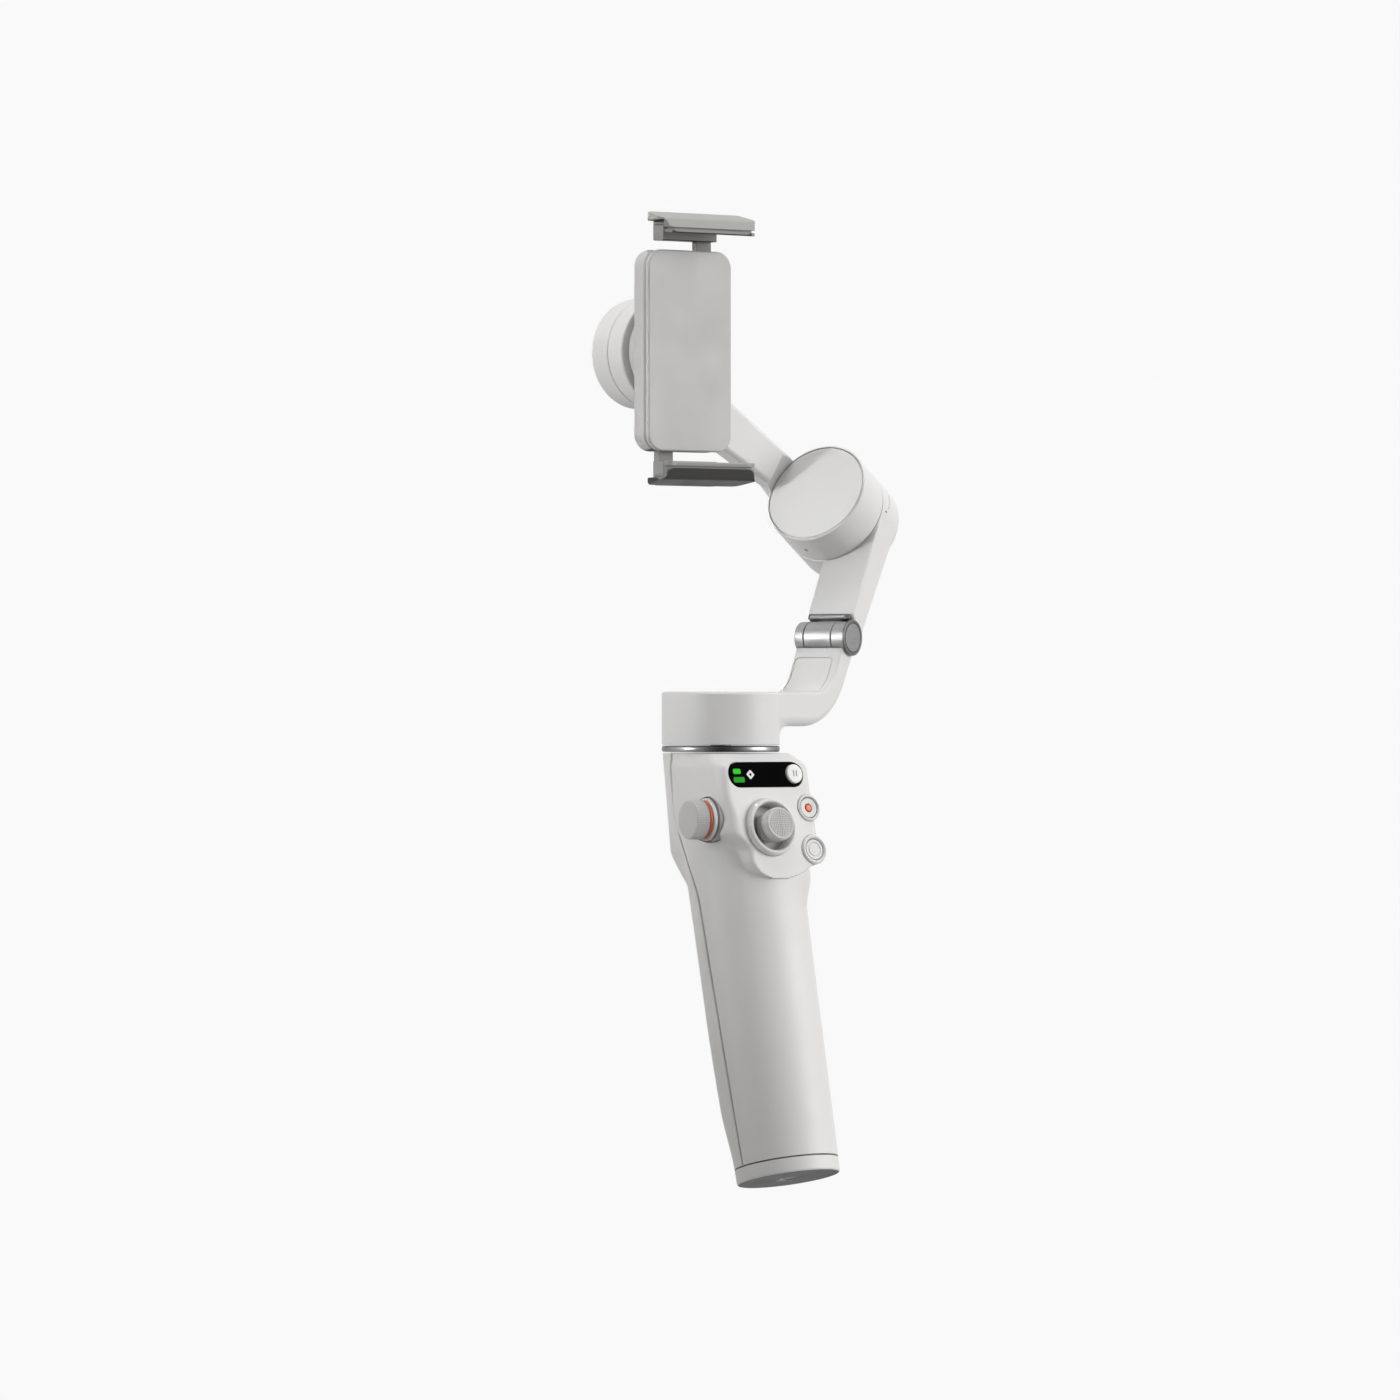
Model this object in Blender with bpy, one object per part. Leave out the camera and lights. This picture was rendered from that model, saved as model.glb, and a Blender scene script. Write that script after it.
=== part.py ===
"""Folding three-axis handheld gimbal stabilizer: leaning handle with extension rod, pan, tilt and roll motors,
folding arm and a magnetic spring clamp. Origin at the centre of the tripod face, +Z up along the pan axis,
-Y towards the operator. Sizes below are millimetres; the meshes are written in metres."""

import math

import bmesh
import bpy
from mathutils import Matrix, Vector

MM = 0.001
GAP = 0.3

# Handle
LEAN = math.radians(13.6)
HEAD_TOP = 121.0
CAP_SEAM = 4.2
WALL = 2.0
GRIP_WIDE_TOP, GRIP_WIDE_BOTTOM = 16.9, 14.95
GRIP_DEEP_TOP, GRIP_DEEP_BOTTOM = 16.2, 14.5
GRIP_TOP_Z = 77.0
HEAD_RADIUS = 16.7
HEAD_TAPER, HEAD_KNEE_Z, HEAD_FALL = 0.08, 93.0, 0.47
PANEL_LEFT, PANEL_RIGHT, PANEL_LOW = 16.0, 16.5, 85.4
SHOULDER_Z = 117.8
PANEL_POINT_Y, PANEL_POINT_Z = 10.7, 115.0
SWELL, SWELL_LOW, SWELL_TURN = 2.4, 76.0, math.radians(50.0)
SEAM_BACK, SEAM_HEAD_Y, SEAM_TURN_Z, SEAM_TURN_LONG = 1.0, 33.6, 78.0, 30.0

# Controls
WINDOW_WIDE, WINDOW_TALL, WINDOW_Z = 26.3, 7.2, 115.1
STICK_X, STICK_Z = -1.2, 100.0
STICK_RING, STICK_HOLE, STICK_CAP = 8.45, 6.5, 4.35
STICK_FOOT, STICK_TOP, STICK_PIVOT, STICK_DISH = 1.4, 5.4, -5.8, -2.9
RECORD_X, RECORD_Z, RECORD_RING, RECORD_CAP, RECORD_DOT = 13.6, 105.4, 3.9, 2.9, 1.0
MODE_X, MODE_Z, MODE_RING, MODE_CAP = 13.4, 93.5, 4.3, 3.0
SWITCH_X, SWITCH_RADIUS = 10.0, 2.9
WHEEL_BASE = (-15.9, 17.0, 102.2)
WHEEL_AXIS = (-0.9925, 0.122, 0.0)
WHEEL_RADIUS, WHEEL_OUT, WHEEL_HOLE = 5.6, 6.7, 6.6
TRIGGER_PIVOT_Y, TRIGGER_PIVOT_Z, TRIGGER_HALF, TRIGGER_PIN = 43.6, 112.6, 5.0, 1.0
PORT_X, PORT_Y, PORT_Z = 13.4, 38.2, 98.0
PORT_HALF_DEEP, PORT_HALF_TALL = 1.6, 4.6
TRIPOD_HOLE, TRIPOD_RADIUS, TRIPOD_DEEP = 2.7, 4.9, 6.0

# Extension rod
ROD_RADIUS, ROD_WALL, ROD_STEP = 8.0, 0.9, 1.2
ROD_LOW, ROD_HIGH = 16.0, 118.0

# Motors: the rotor's wall, and the magnets, windings and bearing inside it
ROTOR_WALL, MAGNET_THICK, AIR_GAP, STATOR_BORE, SHAFT_RADIUS = 1.7, 2.5, 1.0, 5.4, 3.0

# Pan motor and arms; the arms stand to the operator's side of the pan axis by ARM_SIDE
PAN_Y = 32.0
PAN_RADIUS, PAN_LOW, PAN_TOP = 17.0, 123.4, 138.7
COLLAR_LOW, COLLAR_TOP = 121.4, 123.1
ARM_TURN = math.radians(21.0)
ARM_LEAN = math.radians(29.0)
ARM_HALF, ARM_SIDE, ARM_LOW = 8.0, 8.4, 128.7
UNDER_U, UNDER_RADIUS = 22.9, 24.0
BEND_U, BEND_Z, BEND_RADIUS = 27.55, 149.4, 11.0
COVER_HALF, COVER_SHIFT, COVER_THICK, COVER_START, COVER_RUN = 6.2, -0.8, 0.7, -70.5, 5.2
HINGE_U, HINGE_Z, HINGE_RADIUS = 45.35, 154.5, 4.7
HINGE_LENGTH, KNUCKLE_LEFT, KNUCKLE_RIGHT = 17.0, 3.0, 4.4
FLANGE_RADIUS, FLANGE_THICK, HINGE_PIN = 5.3, 0.7, 1.8
UPPER_U, UPPER_Z, UPPER_THICK, UPPER_TOP_THICK = 47.35, 161.1, 7.3, 9.6

# Tilt motor, measured back from the outer face of its cap
TILT_U, TILT_Z = 53.1, 197.3
TILT_RADIUS, TILT_SEAM, TILT_BACK, TILT_EDGE = 16.1, 12.0, 24.8, 3.0

# Roll motor and clamp
ROLL_X, ROLL_Z, ROLL_RADIUS = -6.0, 236.9, 16.0
ROLL_BACK, ROLL_SEAM, ROLL_FRONT = 68.0, 57.2, 50.3
MOUNT_RADIUS, MOUNT_DEEP = 11.0, 1.0
STRUT_Y, STRUT_THICK = 66.0, 3.6
PHONE_BACK_Y, PHONE_FRONT_Y, OPENING = 38.0, 30.0, 71.5
CLAMP_HALF_WIDE, CLAMP_HALF_TALL, CLAMP_CORNER = 15.0, 29.0, 5.0
COVER_FRONT, COVER_BACK, BODY_BACK, PUCK_BACK, PUCK_RADIUS = 38.6, 40.4, 46.0, 49.9, 14.0
TRAY_WALL, TRAY_BACK = 1.6, 44.2
JAW_HALF, JAW_DEEP, JAW_CORNER, JAW_RISE, JAW_LIP = 18.0, 10.5, 5.2, 4.4, 1.4
JAW_NECK, JAW_BACK, STEM_FRONT, STEM_BACK, STEM_OUT = 11.9, 43.6, 41.3, 43.4, 11.6
PAD_HALF, PAD_THICK = 14.0, 1.1
ROLLER_RADIUS = 4.0

HANDLE_PIECES = (
    "front_shell", "rear_shell", "bottom_cap", "tripod_insert", "status_window", "main_board", "battery_pack",
    "rod_guide", "joystick_bezel", "joystick_base", "record_bezel", "mode_bezel", "usb_port", "wheel_collar",
    "trigger_pin",
)
PAN_PIECES = ("pan_arm", "arm_cover", "pan_magnets", "knuckle_left", "knuckle_right", "hinge_pin")
TILT_PIECES = ("tilt_arm", "tilt_cap", "tilt_magnets", "roll_stator", "roll_bearing")

WARM_GREY = (0.66, 0.65, 0.63)
DARK = (0.03, 0.03, 0.032)
METAL = (0.42, 0.42, 0.43)


def clear_scene():
    for thing in list(bpy.data.objects):
        bpy.data.objects.remove(thing)


def material(name, colour, metallic, roughness):
    made = bpy.data.materials.new(name)
    made.use_nodes = True
    shader = made.node_tree.nodes["Principled BSDF"]
    shader.inputs["Base Color"].default_value = (*colour, 1.0)
    shader.inputs["Metallic"].default_value = metallic
    shader.inputs["Roughness"].default_value = roughness
    return made


def frame(origin, x_axis, y_axis):
    """A placing matrix from an origin and two axes."""
    x = Vector(x_axis).normalized()
    z = x.cross(Vector(y_axis)).normalized()
    y = z.cross(x)
    made = Matrix((x, y, z)).transposed().to_4x4()
    made.translation = Vector(origin)
    return made


def along(origin, axis, hint=(0, 0, 1)):
    """A placing matrix whose own z runs along axis."""
    z = Vector(axis).normalized()
    x = Vector(hint).cross(z)
    if x.length < 1e-6:
        x = Vector((1, 0, 0))
    x.normalize()
    made = Matrix((x, z.cross(x), z)).transposed().to_4x4()
    made.translation = Vector(origin)
    return made


def solid(name, points, faces, placing=None):
    """One mesh object from millimetre points, facing out."""
    if placing is not None:
        points = [placing @ Vector(p) for p in points]
    mesh = bpy.data.meshes.new(name)
    mesh.from_pydata([Vector(p) * MM for p in points], [], faces)
    work = bmesh.new()
    work.from_mesh(mesh)
    bmesh.ops.remove_doubles(work, verts=work.verts, dist=1e-7)
    bmesh.ops.recalc_face_normals(work, faces=work.faces)
    work.to_mesh(mesh)
    work.free()
    made = bpy.data.objects.new(name, mesh)
    bpy.context.scene.collection.objects.link(made)
    return made


def lathe(name, profile, placing, sides=24):
    """A turned solid from (radius, height) points: open at the axis, or a closed ring."""
    points = []
    rings = []
    for radius, height in profile:
        count = 1 if radius < 1e-6 else sides
        ring = []
        for k in range(count):
            turn = 2 * math.pi * k / sides
            ring.append(len(points))
            points.append((radius * math.cos(turn), radius * math.sin(turn), height))
        rings.append(ring)
    pairs = list(zip(rings, rings[1:]))
    if len(rings[0]) > 1 and len(rings[-1]) > 1:
        pairs.append((rings[-1], rings[0]))
    faces = []
    for low, high in pairs:
        for k in range(sides):
            n = (k + 1) % sides
            if len(low) == 1:
                faces.append((low[0], high[k], high[n]))
            elif len(high) == 1:
                faces.append((low[k], low[n], high[0]))
            else:
                faces.append((low[k], low[n], high[n], high[k]))
    return solid(name, points, faces, placing)


def disc(name, radius, low, high, placing, sides=24, edge=0.0):
    """A cylinder with broken edges."""
    rim = radius - edge
    profile = [(0, low), (rim, low), (radius, low + edge), (radius, high - edge), (rim, high), (0, high)]
    if edge == 0:
        profile = [(0, low), (radius, low), (radius, high), (0, high)]
    return lathe(name, profile, placing, sides)


def tube(name, outer, inner, low, high, placing, sides=24):
    return lathe(name, [(inner, low), (outer, low), (outer, high), (inner, high)], placing, sides)


def loft(name, rings, placing=None):
    """A solid through rings of equal count, closed by flat ends."""
    count = len(rings[0])
    points = [p for ring in rings for p in ring]
    faces = [tuple(range(count)), tuple(range((len(rings) - 1) * count, len(rings) * count))]
    for level in range(len(rings) - 1):
        for k in range(count):
            n = (k + 1) % count
            low = level * count
            faces.append((low + k, low + n, low + count + n, low + count + k))
    return solid(name, points, faces, placing)


def prism(name, outline, low, high, placing=None):
    return loft(name, [[(x, y, low) for x, y in outline], [(x, y, high) for x, y in outline]], placing)


def rounded(half_x, half_y, radius, steps=4):
    """The outline of a rounded rectangle."""
    outline = []
    for quarter, (sx, sy) in enumerate(((1, 1), (-1, 1), (-1, -1), (1, -1))):
        for k in range(steps + 1):
            turn = math.pi / 2 * (quarter + k / steps)
            x = sx * (half_x - radius) + radius * math.cos(turn)
            y = sy * (half_y - radius) + radius * math.sin(turn)
            outline.append((x, y))
    return outline


def box(name, low, high, edge=0.0):
    """An upright block between two corners, its upright edges rounded."""
    mid = [(a + b) / 2 for a, b in zip(low, high)]
    half = [(b - a) / 2 for a, b in zip(low, high)]
    outline = [(half[0], half[1]), (-half[0], half[1]), (-half[0], -half[1]), (half[0], -half[1])]
    if edge:
        outline = rounded(half[0], half[1], edge, 3)
    return prism(name, outline, -half[2], half[2], Matrix.Translation(mid))


def settle(thing):
    """Turns an object's modifiers into its mesh."""
    bpy.context.view_layer.update()
    view = bpy.context.evaluated_depsgraph_get()
    mesh = bpy.data.meshes.new_from_object(thing.evaluated_get(view))
    thing.modifiers.clear()
    thing.data = mesh


def combine(thing, tools, operation):
    """Adds or cuts tools, one after another, and removes them."""
    for tool in tools:
        step = thing.modifiers.new(operation.lower(), "BOOLEAN")
        step.operation = operation
        step.solver = "EXACT"
        step.object = tool
        settle(thing)
        bpy.data.objects.remove(tool)
    return thing


def cut(thing, *tools):
    return combine(thing, tools, "DIFFERENCE")


def join(thing, *tools):
    return combine(thing, tools, "UNION")


def soften(thing, width, segments=2, angle=40):
    """Breaks the sharp edges."""
    step = thing.modifiers.new("edges", "BEVEL")
    step.width = width * MM
    step.segments = segments
    step.limit_method = "ANGLE"
    step.angle_limit = math.radians(angle)
    settle(thing)
    return thing


def finish(thing, colour, metallic=0.0, roughness=0.45):
    """Gives an object its own material and three-sided faces."""
    work = bmesh.new()
    work.from_mesh(thing.data)
    bmesh.ops.remove_doubles(work, verts=work.verts, dist=2e-6)
    bmesh.ops.dissolve_degenerate(work, edges=work.edges, dist=2e-6)
    bmesh.ops.triangulate(work, faces=work.faces)
    work.to_mesh(thing.data)
    work.free()
    thing.data.materials.clear()
    thing.data.materials.append(material(thing.name, colour, metallic, roughness))
    return thing


# The handle's outside, as the distance from a middle line in each level section


def smooth_max(a, b, k):
    near = max(k - abs(a - b), 0.0) / k
    return max(a, b) + near * near * k / 4


def smooth_min(a, b, k):
    return -smooth_max(-a, -b, k)


def ease(value):
    value = min(max(value, 0.0), 1.0)
    return value * value * (3 - 2 * value)


def shoulder_drop(z):
    """How far the front falls back below the collar."""
    over = max(z - SHOULDER_Z, 0.0)
    return 1.35 * over


def grip_half(z):
    share = min(max(z / GRIP_TOP_Z, 0.0), 1.0)
    wide = GRIP_WIDE_BOTTOM + (GRIP_WIDE_TOP - GRIP_WIDE_BOTTOM) * share
    deep = GRIP_DEEP_BOTTOM + (GRIP_DEEP_TOP - GRIP_DEEP_BOTTOM) * share
    return wide, deep


def head_radius(z):
    """Radius of the motor seat behind, which dies away into the grip."""
    under = max(HEAD_KNEE_Z - z, 0.0)
    return HEAD_RADIUS - HEAD_TAPER * (HEAD_TOP - z) - HEAD_FALL * under * under / (under + 2.0)


def seam_y(z):
    """Where the front and rear shells meet: along the grip's middle, then bending back to the motor seat."""
    grip = z * math.tan(LEAN) + SEAM_BACK
    return grip + (SEAM_HEAD_Y - grip) * ease((z - SEAM_TURN_Z) / SEAM_TURN_LONG)


def swell(z, turn):
    """The soft bulge that carries the panel's right side down into the grip."""
    rise = ease((z - SWELL_LOW) / 11.0) * (1 - ease((z - 90.0) / 10.0))
    return SWELL * rise * math.exp(-((turn - SWELL_TURN) / 0.42) ** 2)


def ray_to_ellipse(sine, cosine, offset, wide, deep):
    a = (sine / wide) ** 2 + (cosine / deep) ** 2
    b = -2 * offset * cosine / deep ** 2
    c = (offset / deep) ** 2 - 1
    root = b * b - 4 * a * c
    if root <= 0:
        return 0.0
    return max((-b + math.sqrt(root)) / (2 * a), 0.0)


def panel_reach(z, sine, cosine, middle):
    """Distance to the raised control panel, a flat face with rounded sides and a rounded lower end."""
    if cosine <= 0 or z <= PANEL_LOW:
        return 0.0
    left = PANEL_LEFT
    if z < 100.0:
        left *= math.sqrt(max(1 - ((100.0 - z) / 14.6) ** 2, 0.0))
    right = PANEL_RIGHT
    if z < 96.0:
        right *= math.sqrt(max(1 - ((96.0 - z) / 10.6) ** 2.5, 0.0))
    drop = shoulder_drop(z)
    face = PANEL_POINT_Y - (PANEL_POINT_Z - z) * math.tan(LEAN) + drop
    front = (middle - face) / max(cosine, 1e-3)
    side = (right if sine > 0 else left) - 0.5 * drop
    if side < 0.2:
        return 0.0
    across = side / max(abs(sine), 1e-3)
    return smooth_min(front, across, 5.0)


def outside(z, turn):
    """Distance from the seam's middle to the outer surface; turn 0 faces the operator."""
    sine, cosine = math.sin(turn), math.cos(turn)
    middle = seam_y(z)
    wide, deep = grip_half(z)
    drop = shoulder_drop(z)
    grip = ray_to_ellipse(sine, cosine, middle - z * math.tan(LEAN), wide - drop, deep - drop) + swell(z, turn)
    radius = head_radius(z)
    head = ray_to_ellipse(sine, cosine, middle - PAN_Y, radius, radius) if radius > 1 else 0.0
    body = smooth_max(grip, head, 3.0)
    return smooth_max(body, panel_reach(z, sine, cosine, middle), 1.2)


def on_section(z, x, forward):
    """A point right and forward of the seam's middle, in a section that turns square to the lean lower down."""
    turn = LEAN * ease((60.0 - z) / 50.0)
    return (x, seam_y(z) - forward * math.cos(turn), z + forward * math.sin(turn))


def shell_half(name, start, stop, sides, levels, clear):
    """A curved wall between two turns, built of an outer and an inner skin."""
    rings = []
    for z in levels:
        ring = []
        for inward in (0.0, WALL):
            row = []
            for k in range(sides + 1):
                turn = start + (stop - start) * k / sides
                reach = outside(z, turn) - inward
                forward = reach * math.cos(turn)
                shift = clear if abs(math.cos(turn)) < 1e-6 else 0.0
                row.append(on_section(z, reach * math.sin(turn), forward + shift))
            ring.extend(row if inward == 0.0 else row[::-1])
        rings.append(ring)
    return loft(name, rings)


def panel_frame(x, z):
    """On the panel's face, z axis outward."""
    y = PANEL_POINT_Y - (PANEL_POINT_Z - z) * math.tan(LEAN)
    return along((x, y, z), (0, -math.cos(LEAN), math.sin(LEAN)), (0, math.sin(LEAN), math.cos(LEAN)))


def rod_frame():
    """Along the extension rod, which runs with the lean to the collar's centre; its height 0 is at z 0."""
    low = PAN_Y - COLLAR_LOW * math.tan(LEAN)
    return along((0, low, 0), (0, math.sin(LEAN), math.cos(LEAN)))


def arm_point(u, z, w=0.0):
    """A point of the arms: u out from the pan axis, w along the fold hinge."""
    out = Vector((math.cos(ARM_TURN), math.sin(ARM_TURN), 0))
    side = Vector((math.sin(ARM_TURN), -math.cos(ARM_TURN), 0))
    return Vector((0, PAN_Y, z)) + out * u + side * w


def arm_frame():
    """In the arms' middle: x outward, y up, z along the hinge."""
    return frame(arm_point(0, 0, ARM_SIDE), (math.cos(ARM_TURN), math.sin(ARM_TURN), 0), (0, 0, 1))


def hinge_frame():
    """In the middle of the fold hinge, z axis along it."""
    return along(arm_point(HINGE_U, HINGE_Z, ARM_SIDE), arm_point(0, 0, 1) - arm_point(0, 0, 0))


def tilt_axis():
    """From the tilt motor's back to its cap."""
    return arm_point(-math.cos(ARM_LEAN), math.sin(ARM_LEAN)) - arm_point(0, 0)


def tilt_frame():
    """Origin at the cap's centre, z axis out of the cap."""
    return along(arm_point(TILT_U, TILT_Z), tilt_axis())


def roll_frame():
    """Origin on the roll axis at y 0, z axis to the rear."""
    return along((ROLL_X, 0, ROLL_Z), (0, 1, 0))


def arc(centre, radius, start, stop, steps):
    made = []
    for k in range(steps + 1):
        turn = math.radians(start + (stop - start) * k / steps)
        made.append((centre[0] + radius * math.cos(turn), centre[1] + radius * math.sin(turn)))
    return made


def build_handle():
    levels = [4.3, 40, 66, 76, 81, 85.2, 86.2, 88.5, 92, 96, 101, 107, 113, 118, HEAD_TOP]
    front = shell_half("front_shell", -math.pi / 2, math.pi / 2, 20, levels, 0.1)
    rear = shell_half("rear_shell", math.pi / 2, 3 * math.pi / 2, 12, levels, -0.1)

    pill = rounded(WINDOW_WIDE / 2 + GAP, WINDOW_TALL / 2 + GAP, WINDOW_TALL / 2 + GAP - 0.01)
    window_seat = prism("seat", pill, -1.4, 6, panel_frame(0, WINDOW_Z))
    switch_hole = disc("hole", SWITCH_RADIUS + GAP, -6, 3, panel_frame(SWITCH_X, WINDOW_Z), 16)
    stick_hole = disc("hole", STICK_RING + GAP, -8, 6, panel_frame(STICK_X, STICK_Z), 24)
    record_hole = disc("hole", RECORD_RING + GAP, -8, 6, panel_frame(RECORD_X, RECORD_Z), 16)
    mode_hole = disc("hole", MODE_RING + GAP, -8, 6, panel_frame(MODE_X, MODE_Z), 16)
    wheel_hole = disc("hole", WHEEL_HOLE, -8, 8, along(WHEEL_BASE, WHEEL_AXIS), 20)
    cut(front, window_seat, switch_hole, stick_hole, record_hole, mode_hole, wheel_hole)
    finish(front, WARM_GREY)

    trigger_hole = box("hole", (-TRIGGER_HALF - 0.6, 38, 90.6), (TRIGGER_HALF + 0.6, 60, 116.4))
    side = along((PORT_X, PORT_Y, PORT_Z), (1, 0, 0))
    mouth = rounded(PORT_HALF_DEEP + GAP, PORT_HALF_TALL + GAP, PORT_HALF_DEEP + GAP - 0.05)
    cut(rear, trigger_hole, prism("hole", mouth, -8, 8, side))
    finish(rear, WARM_GREY)

    base = along((0, 0, 0), (0, math.sin(LEAN), math.cos(LEAN)))
    step = CAP_SEAM - GAP
    rings = []
    plug = WALL + 0.4
    turns = [k * math.pi / 18 for k in range(36)]
    for height, inset in ((0, 0.6), (0.2, 0.15), (0.7, 0.0), (step, 0.0), (step, plug), (8.0, plug)):
        wide, deep = grip_half(height)
        rings.append([((wide - inset) * math.cos(t), (deep - inset) * math.sin(t), height) for t in turns])
    cap = loft("bottom_cap", rings, base)
    cut(cap, disc("hole", TRIPOD_RADIUS + 0.15, -1, TRIPOD_DEEP + GAP, base, 20))
    finish(cap, WARM_GREY)
    insert = tube("tripod_insert", TRIPOD_RADIUS, TRIPOD_HOLE, 0.0, TRIPOD_DEEP, base, 20)
    finish(insert, METAL, 1.0, 0.3)

    pill = rounded(WINDOW_WIDE / 2, WINDOW_TALL / 2, WINDOW_TALL / 2 - 0.01)
    window = prism("status_window", pill, -1.1, 0.15, panel_frame(0, WINDOW_Z))
    cut(window, disc("hole", SWITCH_RADIUS + 0.15, -6, 3, panel_frame(SWITCH_X, WINDOW_Z), 16))
    finish(window, (0.005, 0.005, 0.006), 0.0, 0.08)

    board = prism("main_board", rounded(11, 14, 2), -10.6, -9.2, panel_frame(0, 103))
    finish(board, (0.02, 0.16, 0.07))
    low = PAN_Y - COLLAR_LOW * math.tan(LEAN)
    beside = along((0, low - ROD_RADIUS - 3.2, 0), (0, math.sin(LEAN), math.cos(LEAN)))
    pack = prism("battery_pack", rounded(7, 2.5, 1), 24, 78, beside)
    finish(pack, (0.05, 0.07, 0.2))

    outline = []
    for k in range(17):
        turn = math.radians(70 + 220 * k / 16)
        reach = outside(108, turn) - WALL - GAP
        outline.append((reach * math.sin(turn), seam_y(108) - reach * math.cos(turn)))
    guide = prism("rod_guide", outline, 107.5, 110.5)
    cut(guide, disc("hole", ROD_RADIUS + GAP, 80, 140, rod_frame(), 24))
    cut(guide, box("hole", (-9, 40.6, 100), (9, 60, 120)))
    cut(guide, box("hole", (-20, 0, 100), (20, 21.2, 120)))
    finish(guide, DARK)

    foot = STICK_DISH + GAP
    ring = [
        (STICK_HOLE, foot), (STICK_RING, foot), (STICK_RING, 1.2),
        (STICK_RING - 0.6, 2.0), (STICK_HOLE + 0.6, 2.0), (STICK_HOLE, 1.2),
    ]
    finish(lathe("joystick_bezel", ring, panel_frame(STICK_X, STICK_Z), 28), WARM_GREY)
    stick = panel_frame(STICK_X, STICK_Z)
    finish(tube("joystick_base", STICK_RING + GAP, 2.9, STICK_DISH - 0.8, STICK_DISH, stick, 24), (0.5, 0.5, 0.49))
    for name, x, z, ring_radius, cap_radius in (
        ("record_bezel", RECORD_X, RECORD_Z, RECORD_RING, RECORD_CAP),
        ("mode_bezel", MODE_X, MODE_Z, MODE_RING, MODE_CAP),
    ):
        hole = cap_radius + 0.2
        ring = [(hole, -2.4), (ring_radius, -2.4), (ring_radius, 0.25), (ring_radius - 0.4, 0.65), (hole, 0.15)]
        finish(lathe(name, ring, panel_frame(x, z), 20), WARM_GREY)

    port = prism("usb_port", rounded(PORT_HALF_DEEP, PORT_HALF_TALL, PORT_HALF_DEEP - 0.05), -7.5, -0.4, side)
    mouth = rounded(PORT_HALF_DEEP - 0.35, PORT_HALF_TALL - 0.4, PORT_HALF_DEEP - 0.4)
    cut(port, prism("hole", mouth, -6.5, 3, side))
    finish(port, METAL, 1.0, 0.35)
    collar = tube("wheel_collar", WHEEL_HOLE - GAP, 3.6, -3.2, -0.5, along(WHEEL_BASE, WHEEL_AXIS), 20)
    finish(collar, (0.5, 0.5, 0.49))
    pivot = along((0, TRIGGER_PIVOT_Y, TRIGGER_PIVOT_Z), (1, 0, 0))
    reach = TRIGGER_HALF + 0.6
    finish(disc("trigger_pin", TRIGGER_PIN, -reach, reach, pivot, 12), METAL, 1.0, 0.3)


def build_controls():
    stick = panel_frame(STICK_X, STICK_Z)
    yoke = tube("joystick_yoke", 5.6, 3.4, STICK_PIVOT - 0.8, STICK_PIVOT + 0.8, stick, 20)
    finish(yoke, DARK)
    finish(disc("joystick_stem", 1.7, STICK_PIVOT - 0.8, STICK_FOOT - GAP, stick, 12), DARK)
    profile = [
        (0, STICK_FOOT), (2.6, STICK_FOOT), (STICK_CAP, STICK_FOOT + 0.8),
        (STICK_CAP, STICK_TOP - 0.8), (STICK_CAP - 0.5, STICK_TOP - 0.2), (0, STICK_TOP),
    ]
    finish(lathe("joystick_cap", profile, stick, 28), (0.5, 0.5, 0.49), 0.0, 0.6)

    record = panel_frame(RECORD_X, RECORD_Z)
    button = tube("record_button", RECORD_CAP, RECORD_DOT + GAP, -2.2, 0.1, record, 20)
    finish(button, WARM_GREY)
    finish(disc("record_dot", RECORD_DOT, -2.2, 0.2, record, 16), (0.75, 0.12, 0.03))
    profile = [(0, -2.2), (MODE_CAP, -2.2), (MODE_CAP, 0.25), (2.2, 0.25), (2.0, 0.05), (1.8, 0.25), (0, 0.25)]
    finish(lathe("mode_button", profile, panel_frame(MODE_X, MODE_Z), 20), WARM_GREY)
    radius = SWITCH_RADIUS - 0.1
    profile = [(0, -2.4), (radius, -2.4), (radius, 0.4), (radius - 0.5, 0.8), (0, 0.8)]
    finish(lathe("switch_button", profile, panel_frame(SWITCH_X, WINDOW_Z), 20), (0.8, 0.8, 0.79))

    wheel = along(WHEEL_BASE, WHEEL_AXIS)
    finish(disc("wheel_shaft", 2.4, -3.9, 4.6, wheel, 14), METAL, 1.0, 0.35)
    flange = lathe("wheel_flange", [(2.7, 0.2), (6.1, 0.2), (6.1, 1.1), (5.8, 1.3), (2.7, 1.3)], wheel, 24)
    finish(flange, (0.62, 0.61, 0.6))
    finish(tube("wheel_ring", WHEEL_RADIUS - 0.05, 2.7, 1.6, 2.1, wheel, 24), (0.8, 0.16, 0.04))
    profile = [
        (0, 4.9), (2.7, 4.9), (2.7, 2.4), (WHEEL_RADIUS, 2.4),
        (WHEEL_RADIUS, WHEEL_OUT - 0.5), (WHEEL_RADIUS - 0.5, WHEEL_OUT), (0, WHEEL_OUT),
    ]
    finish(lathe("wheel_knob", profile, wheel, 28), (0.46, 0.45, 0.44))

    outline = [
        (45.6, 115.0), (46.9, 112.0), (47.9, 106.0), (48.4, 99.0), (48.1, 93.8), (47.0, 91.8), (45.4, 92.6),
        (44.6, 99.0), (44.4, 107.0), (43.9, 109.9), (42.4, 110.6), (41.2, 112.6), (42.4, 114.8), (44.0, 115.4),
    ]
    trigger = prism("trigger", outline, -TRIGGER_HALF, TRIGGER_HALF, frame((0, 0, 0), (0, 1, 0), (0, 0, 1)))
    pivot = along((0, TRIGGER_PIVOT_Y, TRIGGER_PIVOT_Z), (1, 0, 0))
    cut(trigger, disc("hole", TRIGGER_PIN + 0.2, -20, 20, pivot, 12))
    finish(trigger, (0.55, 0.54, 0.53))


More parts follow.
